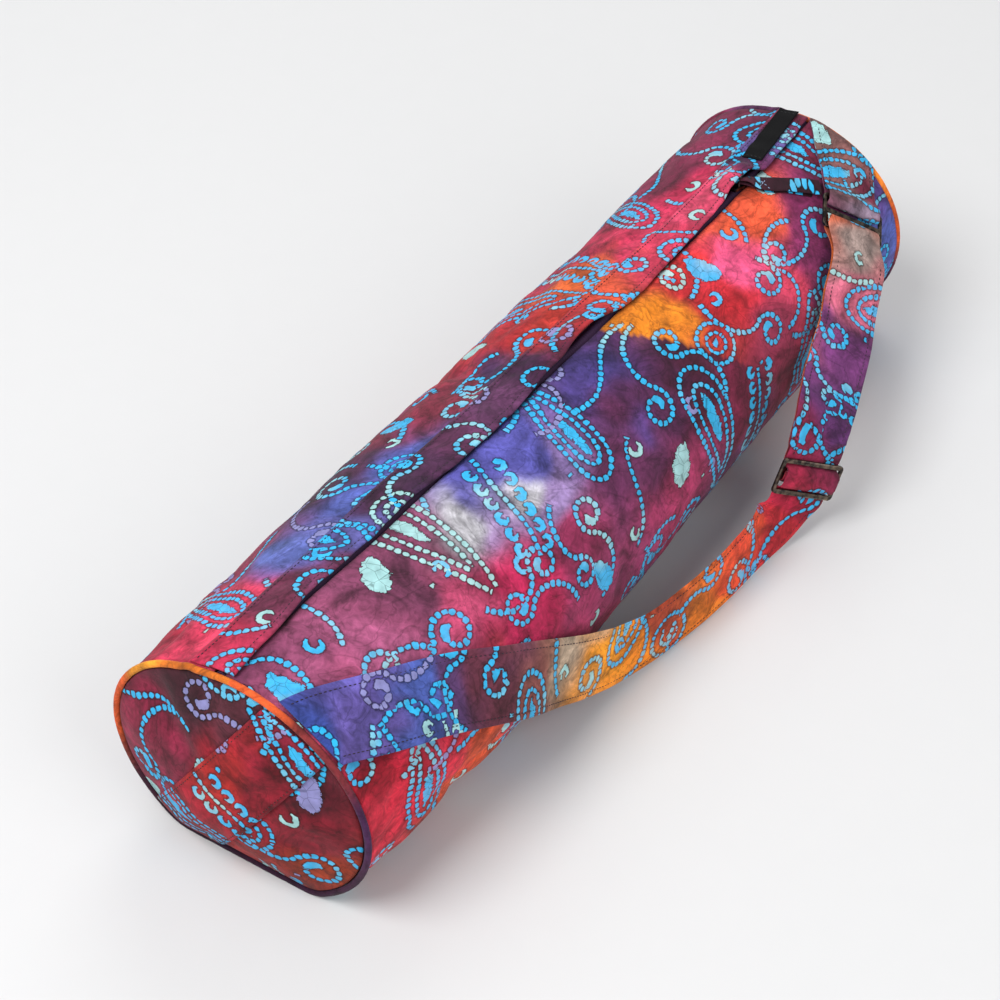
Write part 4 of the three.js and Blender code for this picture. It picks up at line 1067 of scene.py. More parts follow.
def label_satin():
    """Woven polyester satin ribbon: near black, fine ribs across whose hollows are painted darker as shade, a
    soft low shine.
    """
    material, tree = new_material("black_satin_ribbon")
    axes = add(tree, SPLIT, {}, add(tree, "ShaderNodeUVMap", {"uv_map": "cloth"}))
    rib = add(tree, MATH, "SINE", add(tree, MATH, "MULTIPLY", axes.outputs[0], 7.0))
    bump = add(tree, "ShaderNodeBump", {}, Strength=0.3, Distance=0.0003, Height=rib)
    # Painted shade: the ribs' hollows are coloured darker than their crests.
    high = add(tree, RANGE, {}, rib, -1.0, 1.0, 0.0, 1.0)
    colour = add(tree, MIX, BLEND, high, A_Color=linear("#050506"), B_Color=linear("#0e0e10"))
    surface = add(
        tree, PRINCIPLED, {}, Base_Color=colour, Roughness=0.7, Normal=bump, Specular_IOR_Level=0.12,
    )
    add(tree, "ShaderNodeOutputMaterial", {}, surface)
    return material


def zipper_tape_polyester():
    """Woven polyester tape with a nylon coil: dark plum, matt, fine diagonal weave whose hollows are painted
    darker as shade.
    """
    material, tree = new_material("zipper_tape_polyester")
    axes = add(tree, SPLIT, {}, add(tree, "ShaderNodeUVMap", {"uv_map": "cloth"}))
    slope = add(tree, MATH, "ADD", axes.outputs[0], axes.outputs[1])
    # Real herringbone threads are 0.25 mm apart, drawn 0.8 mm apart to show.
    twill = add(tree, MATH, "SINE", add(tree, MATH, "MULTIPLY", slope, 7.85))
    # Painted shade: the twill's hollows are coloured darker than its ridges.
    high = add(tree, RANGE, {}, twill, -1.0, 1.0, 0.0, 1.0)
    colour = add(tree, MIX, BLEND, high, A_Color=linear("#2a1830"), B_Color=linear("#47294e"))
    bump = add(tree, "ShaderNodeBump", {}, Strength=0.3, Distance=0.0003, Height=twill)
    surface = add(
        tree, PRINCIPLED, {}, Base_Color=colour, Roughness=0.7, Normal=bump, Specular_IOR_Level=0.3,
    )
    add(tree, "ShaderNodeOutputMaterial", {}, surface)
    return material


def plain_thread(name, colour):
    """Spun polyester sewing thread: matt, with a faint twist whose grooves are painted darker as shade."""
    material, tree = new_material(name)
    place = add(tree, "ShaderNodeTexCoord", {}).outputs["Object"]
    twist = add(tree, "ShaderNodeTexWave", {}, Vector=place, Scale=900.0, Distortion=2.0)
    light = linear(colour)
    # The dark copy of the thread colour is painted shade in the twist's grooves.
    dark = [v * 0.6 for v in light[:3]] + [1]
    shade = add(tree, MIX, BLEND, twist.outputs["Fac"], A_Color=dark, B_Color=light)
    surface = add(tree, PRINCIPLED, {}, Base_Color=shade, Roughness=0.6)
    add(tree, "ShaderNodeOutputMaterial", {}, surface)
    return material


def paper_floor():
    """Matt seamless background paper: even, almost white."""
    material, tree = new_material("background_paper")
    grain = add(tree, NOISE, {}, Vector=add(tree, "ShaderNodeTexCoord", {}).outputs["Object"], Scale=40.0)
    light = panel_colour("paper")
    dark = [v * 0.985 for v in light[:3]] + [1]
    shade = add(tree, MIX, BLEND, grain, A_Color=light, B_Color=dark)
    surface = add(tree, PRINCIPLED, {}, Base_Color=shade, Roughness=0.95)
    add(tree, "ShaderNodeOutputMaterial", {}, surface)
    return material


# Settings


def length_property(name, description, value):
    return FloatProperty(name=name, description=description, default=value * MM, unit="LENGTH", min=0)


def colour_property(name, description, colour):
    return FloatVectorProperty(
        name=name, description=description, default=linear(colour)[:3], subtype="COLOR", size=3, min=0, max=1
    )


class MATBAG_sizes(PropertyGroup):
    length: length_property("Length", "Rim to rim", 675)
    width: length_property("Width", "Width at the rims, lying", 188)
    height: length_property("Height", "Height at the rims, lying", 160)
    widest_height: length_property("Widest height", "Height of the widest place over the floor", 74.4)
    sag: length_property("Sag", "How far the cloth would hang below the floor if it could", 14)
    cloth_wall: length_property("Cloth", "Thickness of the bag's cloth", 1.6)
    piping: length_property("Piping", "Diameter of the piping round the ends", 4.4)
    base_bulge: length_property("Base bulge", "How far the base stands out", 15)
    flap_root: length_property("Flap seam", "From the zipper to the flap's seam", 22)
    flap_reach: length_property("Flap reach", "From the zipper to the flap's free edge", 7)
    label_length: length_property("Label length", "Length of the bare label", 66)
    label_width: length_property("Label width", "Width of the bare label", 15)
    pull_length: length_property("Pull length", "Length of the cloth zipper pull", 62)
    pull_width: length_property("Pull width", "Width of the cloth zipper pull", 13)
    strap_width: length_property("Strap width", "Width of the shoulder strap", 48)
    frame_length: length_property("Frame length", "Length of the strap's metal frames along it", 26)


class MATBAG_colours(PropertyGroup):
    marks: colour_property("Marks", "Colour of most wax-kept marks of the print", "#2bbaf0")
    pale_marks: colour_property("Pale marks", "Colour of the paler marks", "#a5d8d8")
    lilac_marks: colour_property("Lilac marks", "Colour of the lilac marks", "#8f8fc4")
    metal: colour_property("Metal", "Colour of the gunmetal finish", "#3a3634")
    worn_metal: colour_property("Worn metal", "Colour of the metal where the finish has worn", "#7a6a5c")
    paper: colour_property("Floor", "Colour of the background paper", "#dcdcdc")


def read_sizes(context):
    """Reads the panel's sizes, in millimetres, and works out what depends on them."""
    for name in MATBAG_sizes.__annotations__:
        setattr(size, name, getattr(context.scene.matbag_sizes, name) / MM)
    size.half_length = size.length / 2
    size.half_width = size.width / 2
    size.cloth_end = size.half_length - size.piping - GAP
    size.bar_pitch = (size.frame_length - BAR_WIDTH) / 2
    size.wrap_radius = BAR_THICKNESS / 2 + METAL_GAP + STRAP_THICKNESS / 2
    size.frame_width = size.strap_width + 2 * (SIDE_BAR_WIDTH + SIDE_ROOM)
    lay_strap()


# Dye pools along the two cords of piping: x, y and reach in millimetres, colour.
BASE_PIPING_DYES = (
    (20, 7, 60, "#f2802a"),
    (80, 7, 60, "#f7a02c"),
    (130, 7, 50, "#e8602c"),
    (180, 7, 50, "#3c1a2c"),
    (250, 7, 70, "#2c1428"),
    (330, 7, 70, "#3c1a35"),
    (430, 7, 60, "#46204a"),
    (490, 7, 40, "#7a2a30"),
    (540, 7, 50, "#e8602c"),
)
END_PIPING_DYES = (
    (20, 7, 60, "#6a3a62"),
    (90, 7, 60, "#8a2c4c"),
    (200, 7, 80, "#5a2450"),
    (330, 7, 80, "#4a2444"),
    (440, 7, 50, "#e0602c"),
    (500, 7, 40, "#f58a30"),
    (545, 7, 40, "#e8704a"),
)

# Pieces


class MATBAG_OT_body(Operator):
    """Builds the tube of printed cotton"""

    bl_idname = "matbag.body"
    bl_label = "Body"

    def execute(self, context):
        read_sizes(context)
        slit = SLIT_WIDTH / 2 / size.half_width

        def place(s, t):
            x = lerp(-size.cloth_end, size.cloth_end, s)
            return skin(x, zipper_turn(x) + lerp(slit, 2 * math.pi - slit, t), 0)

        def flat(s, t):
            x = lerp(-size.cloth_end, size.cloth_end, s)
            return x, lerp(slit, 2 * math.pi - slit, t) * size.half_width + zipper_turn(x) * size.half_width

        piece = sheet("cloth_body", 204, 174, place, flat)
        cloth_piece(piece, body_pools(), "printed_cotton", "body")
        thicken(piece, size.cloth_wall)
        return {"FINISHED"}


class MATBAG_OT_ends(Operator):
    """Builds the base, its band, the far end and the piping round both"""

    bl_idname = "matbag.ends"
    bl_label = "Ends and piping"

    def execute(self, context):
        read_sizes(context)
        self.disc(-1, "cloth_base_disc", "base_disc")
        self.disc(1, "cloth_end_disc", "end_disc")
        self.band()
        self.piping(-1, "cloth_base_piping", "base_piping", BASE_PIPING_DYES)
        self.piping(1, "cloth_end_piping", "end_piping", END_PIPING_DYES)
        return {"FINISHED"}

    def disc(self, end, name, node):
        def spot(s, t):
            a, b = 2 * s - 1, 2 * t - 1
            across, up = a * np.sqrt(1 - b * b / 2), b * np.sqrt(1 - a * a / 2)
            angle = np.arctan2(across, up)
            reach = np.minimum(np.hypot(across, up), 1) * disc_reach(end, end * angle)
            return reach * np.sin(angle), size.widest_height + reach * np.cos(angle)

        def place(s, t):
            y, z = spot(s, t)
            return disc_point(end, end * y, z, 0)

        def flat(s, t):
            y, z = spot(s, t)
            return y + 90, z + 70

        piece = sheet(name, 66, 66, place, flat)
        pools = (
            (60, 200, 30, "#4a1f2c"),
            (20, 160, 26, "#8a2440"),
            (100, 200, 30, "#5a2734"),
            (40, 110, 30, "#a02048"),
            (90, 140, 30, "#b31a2c"),
            (150, 170, 30, "#5a1020"),
            (150, 130, 26, "#8a1a2c"),
            (120, 80, 30, "#a5201f"),
            (70, 80, 26, "#8f2436"),
            (160, 90, 22, "#a03a1c"),
        )
        cloth_piece(piece, pools, "base_cotton", node, seed=4)
        thicken(piece, size.cloth_wall)

    def band(self):
        turn = math.radians(-STRAP_TURN)
        way = (math.sin(turn), math.cos(turn))

        def place(s, t):
            across = (t - 0.5) * size.strap_width
            side = np.where(s < 0.5, -1, 1)
            reach = np.full_like(s, size.half_width)
            for _ in range(12):
                y, z = side * way[0] * reach + way[1] * across, side * way[1] * reach - way[0] * across
                reach = reach * (disc_reach(-1, np.arctan2(y, z)) - GAP) / np.hypot(y, z)
            reach = reach * (2 * s - 1)
            y, z = way[0] * reach + way[1] * across, size.widest_height + way[1] * reach - way[0] * across
            hem = 0.5 * (1 - ease(np.minimum(t, 1 - t), 0, 0.03))
            return disc_point(-1, y, z, LAYER_GAP + BAND_THICKNESS - hem)

        def flat(s, t):
            return s * 170 + 30, t * size.strap_width + 50

        piece = sheet("cloth_base_band", 76, 24, place, flat)
        pools = (
            (50, 70, 24, "#8a1a30"),
            (90, 60, 24, "#a81c2e"),
            (120, 80, 24, "#c02a26"),
            (160, 60, 24, "#8a1628"),
            (190, 80, 24, "#97203a"),
        )
        cloth_piece(piece, pools, "base_cotton", "base_band", seed=6)
        thicken(piece, BAND_THICKNESS)
        s = np.linspace(0.01, 0.99, 60)
        lines = [(place(s, np.full_like(s, t)), (-1.0, 0.0, 0.0)) for t in (0.05, 0.95)]
        sew("thread_base_band", lines, "#2a0c18", "base_cotton")

    def piping(self, end, name, node, pools):
        radius = size.piping / 2
        centre = end * (size.half_length - radius)

        def place(s, t):
            turn, roll = 2 * math.pi * s, 2 * math.pi * t
            thread = 0.1 * noise(s * 240, t * 3, 79, 3)
            points = skin(centre, turn, PIPING_PROUD - radius + (radius + thread) * np.sin(roll))
            points[:, 0] = centre + (radius + thread) * np.cos(roll)
            points[:, 2] = np.maximum(points[:, 2], 0)
            return points

        def flat(s, t):
            return s * 560, t * 14

        piece = weld(sheet(name, 200, 14, place, flat))
        cloth_piece(piece, pools, "piping_cotton", node, figures=False, seed=8)


class MATBAG_OT_zipper(Operator):
    """Builds the zipper tape with its teeth and the cloth pull, and gives the slider its metal"""

    bl_idname = "matbag.zipper"
    bl_label = "Zipper"

    def execute(self, context):
        read_sizes(context)
        self.tape()
        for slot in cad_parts["zipper_slider"].material_slots:
            slot.material = gunmetal_of()
        self.pull()
        return {"FINISHED"}

    def tape(self):
        """Both tapes with the closed coil between them, whose teeth stand 2.2 mm apart."""
        half_tape, half_coil = TAPE_WIDTH / 2, COIL_WIDTH / 2
        top = -size.cloth_wall - LAYER_GAP

        def place(s, t):
            x = lerp(-size.cloth_end, size.cloth_end, s)
            side = lerp(-half_tape, half_tape, t)
            coil = 1 - ease(np.abs(side), half_coil * 0.6, half_coil + 0.6)
            tooth = 0.28 * np.sin(2 * math.pi * x / 2.2 + np.where(side > 0, math.pi, 0))
            groove = 0.3 * np.exp(-((np.abs(side) - half_coil - 2) / 0.5) ** 2)
            return beside_zipper(x, side, top + coil * (COIL_PROUD - top - 0.28 + tooth) - groove)

        def flat(s, t):
            return s * size.length, t * TAPE_WIDTH

        piece = sheet("woven_zipper_tape", 1225, 22, place, flat)
        finish_piece(piece, zipper_tape_polyester(), "zipper_nylon", "zipper_tape")
        thicken(piece, TAPE_THICKNESS)

    def pull(self):
        crown_bar = COIL_PROUD + GAP + ZIP_SLIDER_HEIGHT + CROWN_OPENING + CROWN_WIRE / 2
        slider_top = COIL_PROUD + GAP + ZIP_SLIDER_HEIGHT
        radius = CROWN_WIRE / 2 + GAP + PULL_THICKNESS / 2
        lowest = LAYER_GAP + PULL_THICKNESS / 2
        layer = PULL_THICKNESS + GAP
        clear = ZIP_SLIDER_LENGTH / 2 + 5
        long = size.pull_length
        upper = [
            (long, lowest + 4.6 * layer),
            (long * 0.8, lowest + 2.6 * layer),
            (long * 0.55, lowest + 1.9 * layer),
            (long * 0.34, lowest + 1.5 * layer),
            (clear + 2, lowest + 2.7 * layer),
            (clear * 0.6, crown_bar + radius * 0.9),
            (CROWN_WIRE, crown_bar + radius),
        ]
        lower = [
            (CROWN_WIRE, crown_bar - radius),
            (clear * 0.72, slider_top + GAP + PULL_THICKNESS / 2),
            (clear + 2, lowest + 1.6 * layer),
            (long * 0.34, lowest),
            (long * 0.55, lowest),
            (long * 0.8, lowest),
            (long * 0.93, lowest),
        ]
        profile = upper + half_turn(0, crown_bar, radius, -1) + lower
        narrow = (CROWN_SPAN - 2 * CROWN_WIRE - 2 * GAP) * 0.9

        def width_at(along):
            return lerp(narrow, size.pull_width, ease(along, CROWN_WIRE, clear + 6))

        piece = ribbon("cloth_zipper_pull", profile, PULL_THICKNESS, width_at, pull_place, 1.2, (10, 40))
        pools = ((20, 40, 30, "#3a1424"), (70, 40, 20, "#4f1c30"), (120, 40, 30, "#3a1020"))
        cloth_piece(piece, pools, "pull_cotton", "zipper_pull", seed=9)
        x = np.array(ZIP_SLIDER_ALONG * size.half_length)
        up = skin_normal(x, zipper_turn(x))
        lines = []
        for aside in (-1, 1):
            a = np.linspace(15, 22, 5)
            share = (a - clear - 2) / (long * 0.34 - clear - 2)
            height = lerp(lowest + 2.7 * layer, lowest + 1.5 * layer, share) + PULL_THICKNESS / 2
            across = aside * np.linspace(-4.4, 4.4, 5)
            lines.append((pull_place(a, across, height), up))
        sew("thread_pull", lines, "#9fb6d8", "pull_cotton")


def pull_place(along, across, lift):
    heading = math.radians(PULL_HEADING)
    x = ZIP_SLIDER_ALONG * size.half_length + along * math.cos(heading) + across * math.sin(heading)
    side = -along * math.sin(heading) + across * math.cos(heading)
    return beside_zipper(x, side, lift)


def gunmetal_of():
    return bpy.data.materials.get("gunmetal_zinc") or gunmetal()


def flap_lift(x, side):
    rise = FLAP_RISE * table_value(FLAP_WAVES, "rise", x / size.half_length)
    towards_edge = np.clip((size.flap_root - side) / (size.flap_root + size.flap_reach), 0, 1)
    return FLAP_LOW + rise * ease(towards_edge, 0.02, 0.62)


class MATBAG_OT_flap(Operator):
    """Builds the flap over the zipper and the bare label on it"""

    bl_idname = "matbag.flap"
    bl_label = "Flap and label"

    def execute(self, context):
        read_sizes(context)

        def spot(s, t):
            x = lerp(-size.cloth_end, size.cloth_end, s)
            edge = -size.flap_reach * table_value(FLAP_WAVES, "reach", x / size.half_length)
            edge = edge + 0.5 * noise(x / 13, x * 0, 83)
            return x, lerp(size.flap_root, edge, t)

        def place(s, t):
            x, side = spot(s, t)
            hem = 0.45 * (1 - ease(1 - t, 0, 0.05)) + 0.4 * (1 - ease(t, 0, 0.06))
            seam = 0.25 * np.exp(-(((1 - t) * 29 - 4.5) / 0.9) ** 2)
            wave = 0.5 * noise(x / 17, t * 2, 89) * t
            return beside_zipper(x, side, flap_lift(x, side) + FLAP_THICKNESS - hem - seam + wave)

        def flat(s, t):
            x, side = spot(s, t)
            return x + 40, 30 - side

        piece = sheet("cloth_zipper_flap", 260, 16, place, flat)
        turn_over(piece)
        pools = (
            (-280, 20, 40, "#c22f50"),
            (-220, 20, 30, "#7a3350"),
            (-160, 20, 34, "#5c5a9c"),
            (-110, 20, 30, "#4a2444"),
            (-60, 20, 30, "#5a2a4c"),
            (-10, 20, 30, "#6a3a62"),
            (40, 20, 28, "#4a2348"),
            (90, 20, 28, "#c0343a"),
            (140, 20, 28, "#e0583a"),
            (190, 20, 28, "#d23a5a"),
            (240, 20, 30, "#e04a6c"),
            (290, 20, 24, "#5a2450"),
            (330, 20, 30, "#6a5a9c"),
            (370, 20, 30, "#8a2c4c"),
        )
        cloth_piece(piece, pools, "printed_cotton", "zipper_flap", seed=5)
        thicken(piece, FLAP_THICKNESS)
        lines = []
        s = np.linspace(0.004, 0.996, 170)
        x = lerp(-size.cloth_end, size.cloth_end, s)
        for t in (0.1, 0.845):
            points = place(s, np.full_like(s, t)) + 0.1 * skin_normal(x, zipper_turn(x))
            lines.append((points, skin_normal(x, zipper_turn(x))))
        sew("thread_flap", lines, "#2a1026", "printed_cotton")
        self.label()
        return {"FINISHED"}

    def label(self):
        def place(s, t):
            x = lerp(size.cloth_end - size.label_length, size.cloth_end, s)
            slant = (x - size.cloth_end + size.label_length / 2) * math.tan(math.radians(LABEL_HEADING))
            side = LABEL_SIDE + slant + (t - 0.5) * size.label_width
            curl = 0.4 * (2 * t - 1) ** 4 + 0.3 * noise(x / 14, t * 2, 97)
            lift = flap_lift(x, side) + FLAP_THICKNESS + LAYER_GAP + LABEL_THICKNESS
            return beside_zipper(x, side, lift + curl)

        def flat(s, t):
            return s * size.label_length, t * size.label_width

        piece = sheet("satin_label", 40, 14, place, flat)
        finish_piece(piece, label_satin(), "label_satin", "label")
        thicken(piece, LABEL_THICKNESS)
        t = np.linspace(0.06, 0.94, 8)
        x = np.array(size.cloth_end - size.label_length)
        up = skin_normal(x, zipper_turn(size.cloth_end))
        lines = [(place(np.full_like(t, s), t), up) for s in (0.04, 0.94)]
        sew("thread_label", lines, "#17171a", "label_satin")


def strap_width_at(along):
    return np.full_like(along, size.strap_width)


class MATBAG_OT_strap(Operator):
    """Builds the shoulder strap, the tab and their metal frames"""

    bl_idname = "matbag.strap"
    bl_label = "Strap, tab and frames"

    def execute(self, context):
        read_sizes(context)
        self.strap()
        self.tab()
        self.frame_piece("metal_strap_ring", "strap_ring", size.ring, 0)
        self.frame_piece("metal_strap_slider", "strap_slider", size.slider, self.slider_lift())
        return {"FINISHED"}

    def slider_lift(self):
        return STRAP_THICKNESS / 2 + METAL_GAP + BAR_THICKNESS / 2

    def strap(self):
        slider_at, ring_at = size.strap_slider_at, size.strap_ring_at
        lift = self.slider_lift()
        hump = lift + size.wrap_radius + GAP + STRAP_THICKNESS
        hump_flat, hump_foot = BAR_WIDTH + 2.5, size.bar_pitch - BAR_WIDTH / 2 - 1

        def hump_lift(d):
            return float(hump * (1 - ease(abs(d - slider_at), hump_flat, hump_foot)))

        clear_slider, clear_ring = size.frame_length / 2 + 2, BAR_WIDTH / 2 + 2
        count = round((ring_at - slider_at) / 13)
        front = [*np.linspace(0, slider_at - clear_slider, round(slider_at / 13) + 1)]
        front += [slider_at + d for d in np.linspace(-hump_foot, hump_foot, 17)]
        front += [*np.linspace(slider_at + clear_slider, ring_at - clear_ring, count + 1), ring_at]
        fold_at = ring_at + size.bar_pitch - BAR_WIDTH / 2 - size.wrap_radius - 1
        rear_lift = -STRAP_THICKNESS - GAP

        def behind(d):
            share = ease(d, ring_at - 2 * size.bar_pitch, ring_at - 2)
            return float(lerp(rear_lift, -2 * size.wrap_radius, share))

        rear_start = slider_at + size.bar_pitch + BAR_WIDTH / 2
        rear = [ring_at, *np.linspace(ring_at - clear_ring, rear_start, count + 1)]
        wrap_at = slider_at - BAR_WIDTH / 2 + size.wrap_radius * 0.2
        profile = [(d, hump_lift(d)) for d in front]
        profile += half_turn(fold_at, -size.wrap_radius, size.wrap_radius, 1)
        profile += [(d, behind(d)) for d in rear]
        profile += [(slider_at + hump_flat + 4, rear_lift * 0.75)]
        profile += [(slider_at + hump_flat, lift - size.wrap_radius)]
        profile += half_turn(wrap_at, lift, size.wrap_radius, -1)[::-1]
        profile += [(slider_at + BAR_WIDTH + 1, lift + size.wrap_radius)]

        piece = ribbon("cloth_strap", profile, STRAP_THICKNESS, strap_width_at, strap_place, 3.0, (0, 24))
        cut_at_rim(piece, -1)
        pools = (
            (10, 24, 34, "#3f55ae"),
            (50, 24, 30, "#6a5aa8"),
            (90, 30, 30, "#4f63b5"),
            (130, 20, 30, "#5a3a6a"),
            (170, 24, 28, "#6a3040"),
            (210, 30, 26, "#8a4a44"),
            (245, 20, 24, "#c0a890"),
            (275, 24, 28, "#ffa01c"),
            (310, 30, 30, "#ff9020"),
            (345, 20, 26, "#c04a2c"),
            (380, 30, 28, "#ff8a24"),
            (415, 20, 28, "#f0502c"),
            (450, 30, 28, "#d02c38"),
            (490, 24, 28, "#b52240"),
            (530, 24, 30, "#8a2446"),
            (570, 24, 30, "#5f2f66"),
            (610, 24, 30, "#7a3a78"),
            (650, 24, 26, "#e0708a"),
            (690, 24, 26, "#b8a098"),
            (740, 24, 40, "#c4562c"),
            (830, 24, 60, "#e0702c"),
            (920, 24, 60, "#a02c40"),
        )
        cloth_piece(piece, pools, "strap_cotton", "strap", seed=2)
        lines = []
        for aside in (-1, 1):
            for low, high in ((0, slider_at - clear_slider), (slider_at + clear_slider, ring_at - 22)):
                d = np.arange(low, high, 4.0)
                across = np.full_like(d, aside * (size.strap_width / 2 - STITCH_INSET))
                points = strap_place(d, across, np.full_like(d, STRAP_THICKNESS / 2))
                kept = points[:, 0] > 3 - size.cloth_end
                lines.append((points[kept], strap_axes(d)[3][kept]))
        sew("thread_strap", lines, "#2a1026", "strap_cotton")

    def tab(self):
        beyond = size.strap_width / 2
        low = LAYER_GAP + TAB_THICKNESS / 2
        high = low + TAB_THICKNESS + GAP
        radius = BAR_THICKNESS / 2 + METAL_GAP + TAB_THICKNESS / 2
        top_bar = TAB_REACH - size.bar_pitch
        fold = TAB_REACH - BAR_WIDTH / 2 - radius - 4
        approach = top_bar - BAR_WIDTH - 10
        profile = [(a, high) for a in np.linspace(-beyond, approach, 6)]
        profile += [(top_bar - BAR_WIDTH, RING_LIFT + radius), (top_bar, RING_LIFT + radius)]
        profile += half_turn(fold, RING_LIFT, radius, 1)
        profile += [(top_bar, RING_LIFT - radius), (top_bar - BAR_WIDTH, RING_LIFT - radius)]
        profile += [(a, low) for a in np.linspace(approach, -beyond, 6)]

        piece = ribbon("cloth_anchor_tab", profile, TAB_THICKNESS, strap_width_at, tab_place, 2.6, (0, 110))
        cut_at_rim(piece, 1)
        lines = []
        for aside in (-1, 1):
            a = np.arange(-beyond, approach, 4.0)
            across = np.full_like(a, aside * (size.strap_width / 2 - STITCH_INSET))
            points = tab_place(a, across, np.full_like(a, high + TAB_THICKNESS / 2))
            lines.append((points[points[:, 0] < size.cloth_end - 3], size.ring[3]))
        sew("thread_tab", lines, "#2a1026", "strap_cotton")
        pools = (
            (30, 125, 26, "#8a5a58"),
            (10, 95, 30, "#85605c"),
            (60, 100, 30, "#7d5656"),
            (70, 130, 26, "#93304e"),
            (100, 110, 20, "#b8a0b8"),
            (150, 110, 60, "#7a3a5a"),
        )
        cloth_piece(piece, pools, "strap_cotton", "anchor_tab", seed=3)

    def frame_piece(self, name, node, axes, lift):
        """A flat three-bar frame: a grid whose windows are cut out, given thickness and rounded edges."""
        bm = bmesh.new()
        bmesh.ops.create_grid(bm, x_segments=5, y_segments=3, size=0.5)
        long, bar = size.frame_length / 2, BAR_WIDTH
        x_stops = (-long, -long + bar, -bar / 2, bar / 2, long - bar, long)
        wide = size.frame_width / 2
        y_stops = (-wide, -wide + SIDE_BAR_WIDTH, wide - SIDE_BAR_WIDTH, wide)
        for vert in bm.verts:
            i, j = round((vert.co.x + 0.5) * 5), round((vert.co.y + 0.5) * 3)
            vert.co = Vector((x_stops[i], y_stops[j], -BAR_THICKNESS / 2)) * MM
        windows = [f for f in bm.faces if abs(f.calc_center_median().y) < wide * MM / 2]
        windows = [f for f in windows if bar * MM / 2 < abs(f.calc_center_median().x) < (long - bar) * MM]
        bmesh.ops.delete(bm, geom=windows, context="FACES")
        corners = [v for v in bm.verts if abs(v.co.x) > 0.99 * long * MM and abs(v.co.y) > 0.99 * wide * MM]
        made = bmesh.ops.extrude_face_region(bm, geom=bm.faces[:])
        raised = [v for v in made["geom"] if isinstance(v, bmesh.types.BMVert)]
        bmesh.ops.translate(bm, verts=raised, vec=(0, 0, BAR_THICKNESS * MM))
        bmesh.ops.recalc_face_normals(bm, faces=bm.faces)
        upright = [e for v in corners for e in v.link_edges if abs(e.verts[0].co.z - e.verts[1].co.z) > MM]
        rounded = {"affect": "EDGES", "profile": 0.5, "material": -1}
        bmesh.ops.bevel(bm, geom=upright, offset=FRAME_CORNER * MM, segments=5, **rounded)
        sharp = [e for e in bm.edges if e.calc_face_angle(0) > 0.9]
        bmesh.ops.bevel(bm, geom=sharp, offset=0.7 * MM, segments=3, **rounded)
        origin, x_axis, y_axis, z_axis = (Vector(v) for v in axes)
        turn = Matrix((x_axis, y_axis, z_axis)).transposed().to_4x4()
        turn.translation = (origin + z_axis * lift) * MM
        bmesh.ops.transform(bm, matrix=turn, verts=bm.verts)
        mesh = bpy.data.meshes.new(name)
        bm.to_mesh(mesh)
        bm.free()
        finish_piece(new_object(name, mesh), gunmetal_of(), "gunmetal", node)


def sew(name, lines, colour, slot):
    """Thread stitches along lines of points, each a small long bead that lies on the cloth."""
    bm = bmesh.new()
    for points, normals in lines:
        line = Line(points, 4)
        walked = np.arange(STITCH_PITCH / 2, line.lengths[-1], STITCH_PITCH)
        t = line.place(walked)
        out = np.broadcast_to(normals, line.points.shape)[np.round(t).astype(int)]
        for place, way, normal in zip(line.at(t), line.way(t), out):
            axes = [Vector(v) for v in frame_of(way, normal)]
            turn = Matrix((axes[0] * 1.2, axes[1] * 0.38, axes[2] * 0.3)).transposed().to_4x4()
            turn.translation = Vector(place)
            turn = Matrix.Scale(MM, 4) @ turn
            bmesh.ops.create_icosphere(bm, subdivisions=1, radius=1, matrix=turn)
    mesh = bpy.data.meshes.new(name)
    bm.to_mesh(mesh)
    bm.free()
    finish_piece(new_object(name, mesh), plain_thread(name + "_polyester", colour), slot)


def cut_at_rim(piece, end):
    """Cuts a strip off square with the bag, where the rim seam holds it."""
    bm = bmesh.new()
    bm.from_mesh(piece.data)
    cut = bmesh.ops.bisect_plane(
        bm, geom=bm.verts[:] + bm.edges[:] + bm.faces[:], dist=1e-6,
        plane_co=(end * size.cloth_end * MM, 0, 0), plane_no=(end, 0, 0), clear_outer=True,
    )
    rims = [e for e in cut["geom_cut"] if isinstance(e, bmesh.types.BMEdge)]
    bmesh.ops.holes_fill(bm, edges=rims, sides=0)
    bmesh.ops.recalc_face_normals(bm, faces=bm.faces)
    bm.to_mesh(piece.data)
    bm.free()


# The photograph's view: the camera's matrix in metres, its lens and sensor in millimetres.
CAMERA = (
    (0.5463, 0.5760, -0.6084, -1.1266),
    (-0.8376, 0.3757, -0.3967, -0.6998),
    (0.0, 0.7262, 0.6875, 1.2915),
    (0, 0, 0, 1),
)
LENS = 96.95
SENSOR = 36

# Round soft lights: name, place and width in metres, power in watts. The floor reaches past what they light.
LIGHTS = (
    ("key", (-1.6, 0.6, 2.6), 1.8, 66),
    ("fill", (-0.6, -2.4, 1.9), 2.2, 26),
    ("back", (2.0, 1.2, 2.2), 2.0, 24),
)
FLOOR_HALF = 14


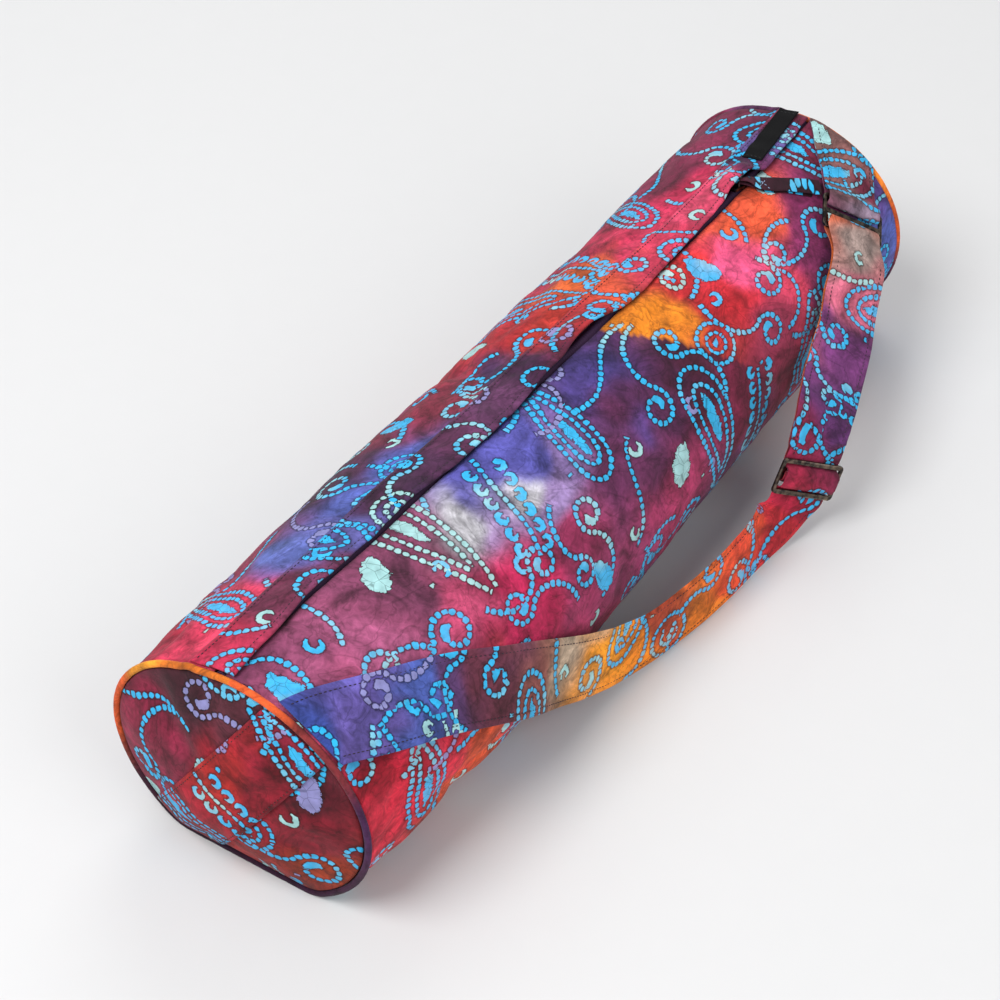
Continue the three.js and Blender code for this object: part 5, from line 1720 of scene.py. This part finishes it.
class MATBAG_OT_stage(Operator):
    """Builds the floor, the studio lights and the camera"""

    bl_idname = "matbag.stage"
    bl_label = "Stage"

    def execute(self, context):
        scene = context.scene
        bm = bmesh.new()
        bmesh.ops.create_grid(bm, x_segments=1, y_segments=1, size=FLOOR_HALF)
        mesh = bpy.data.meshes.new("floor")
        bm.to_mesh(mesh)
        bm.free()
        floor = new_object("floor", mesh)
        floor.data.materials.append(paper_floor())
        for lamp in LIGHTS:
            self.light(*lamp)
        world = bpy.data.worlds.new("studio")
        world.use_nodes = True
        shade = world.node_tree.nodes["Background"]
        shade.inputs["Color"].default_value = linear("#f4f5f7")
        shade.inputs["Strength"].default_value = 0.5
        scene.world = world
        scene.view_settings.view_transform = "Standard"
        data = bpy.data.cameras.new("camera")
        data.lens = LENS
        data.sensor_width = SENSOR
        camera = bpy.data.objects.new("camera", data)
        camera.matrix_world = Matrix(CAMERA)
        scene.collection.objects.link(camera)
        scene.camera = camera
        return {"FINISHED"}

    def light(self, name, place, width, power):
        data = bpy.data.lights.new(name, "AREA")
        data.shape = "DISK"
        data.size = width
        data.energy = power
        lamp = bpy.data.objects.new(name, data)
        lamp.location = place
        lamp.rotation_euler = (Vector((0, 0, 0.05)) - Vector(place)).to_track_quat("-Z", "Y").to_euler()
        bpy.context.scene.collection.objects.link(lamp)


STEPS = (MATBAG_OT_body, MATBAG_OT_ends, MATBAG_OT_flap, MATBAG_OT_zipper, MATBAG_OT_strap, MATBAG_OT_stage)


class MATBAG_PT_panel(Panel):
    """Sizes, colours and steps of the mat bag"""

    bl_idname = "MATBAG_PT_panel"
    bl_label = "Yoga Mat Bag"
    bl_space_type = "VIEW_3D"
    bl_region_type = "UI"
    bl_category = "Mat Bag"

    def draw(self, context):
        for group, names in (
            (context.scene.matbag_sizes, MATBAG_sizes.__annotations__),
            (context.scene.matbag_colours, MATBAG_colours.__annotations__),
        ):
            column = self.layout.column(align=True)
            for name in names:
                column.prop(group, name)
        column = self.layout.column(align=True)
        for step in STEPS:
            column.operator(step.bl_idname)


CLASSES = (MATBAG_sizes, MATBAG_colours, *STEPS, MATBAG_PT_panel)


def register():
    for one in CLASSES:
        bpy.utils.register_class(one)
    bpy.types.Scene.matbag_sizes = PointerProperty(type=MATBAG_sizes)
    bpy.types.Scene.matbag_colours = PointerProperty(type=MATBAG_colours)


def unregister():
    del bpy.types.Scene.matbag_colours
    del bpy.types.Scene.matbag_sizes
    for one in reversed(CLASSES):
        bpy.utils.unregister_class(one)


def main():
    register()
    bpy.ops.matbag.body()
    bpy.ops.matbag.ends()
    bpy.ops.matbag.flap()
    bpy.ops.matbag.zipper()
    bpy.ops.matbag.strap()
    bpy.ops.matbag.stage()


if __name__ == "__main__":
    main()
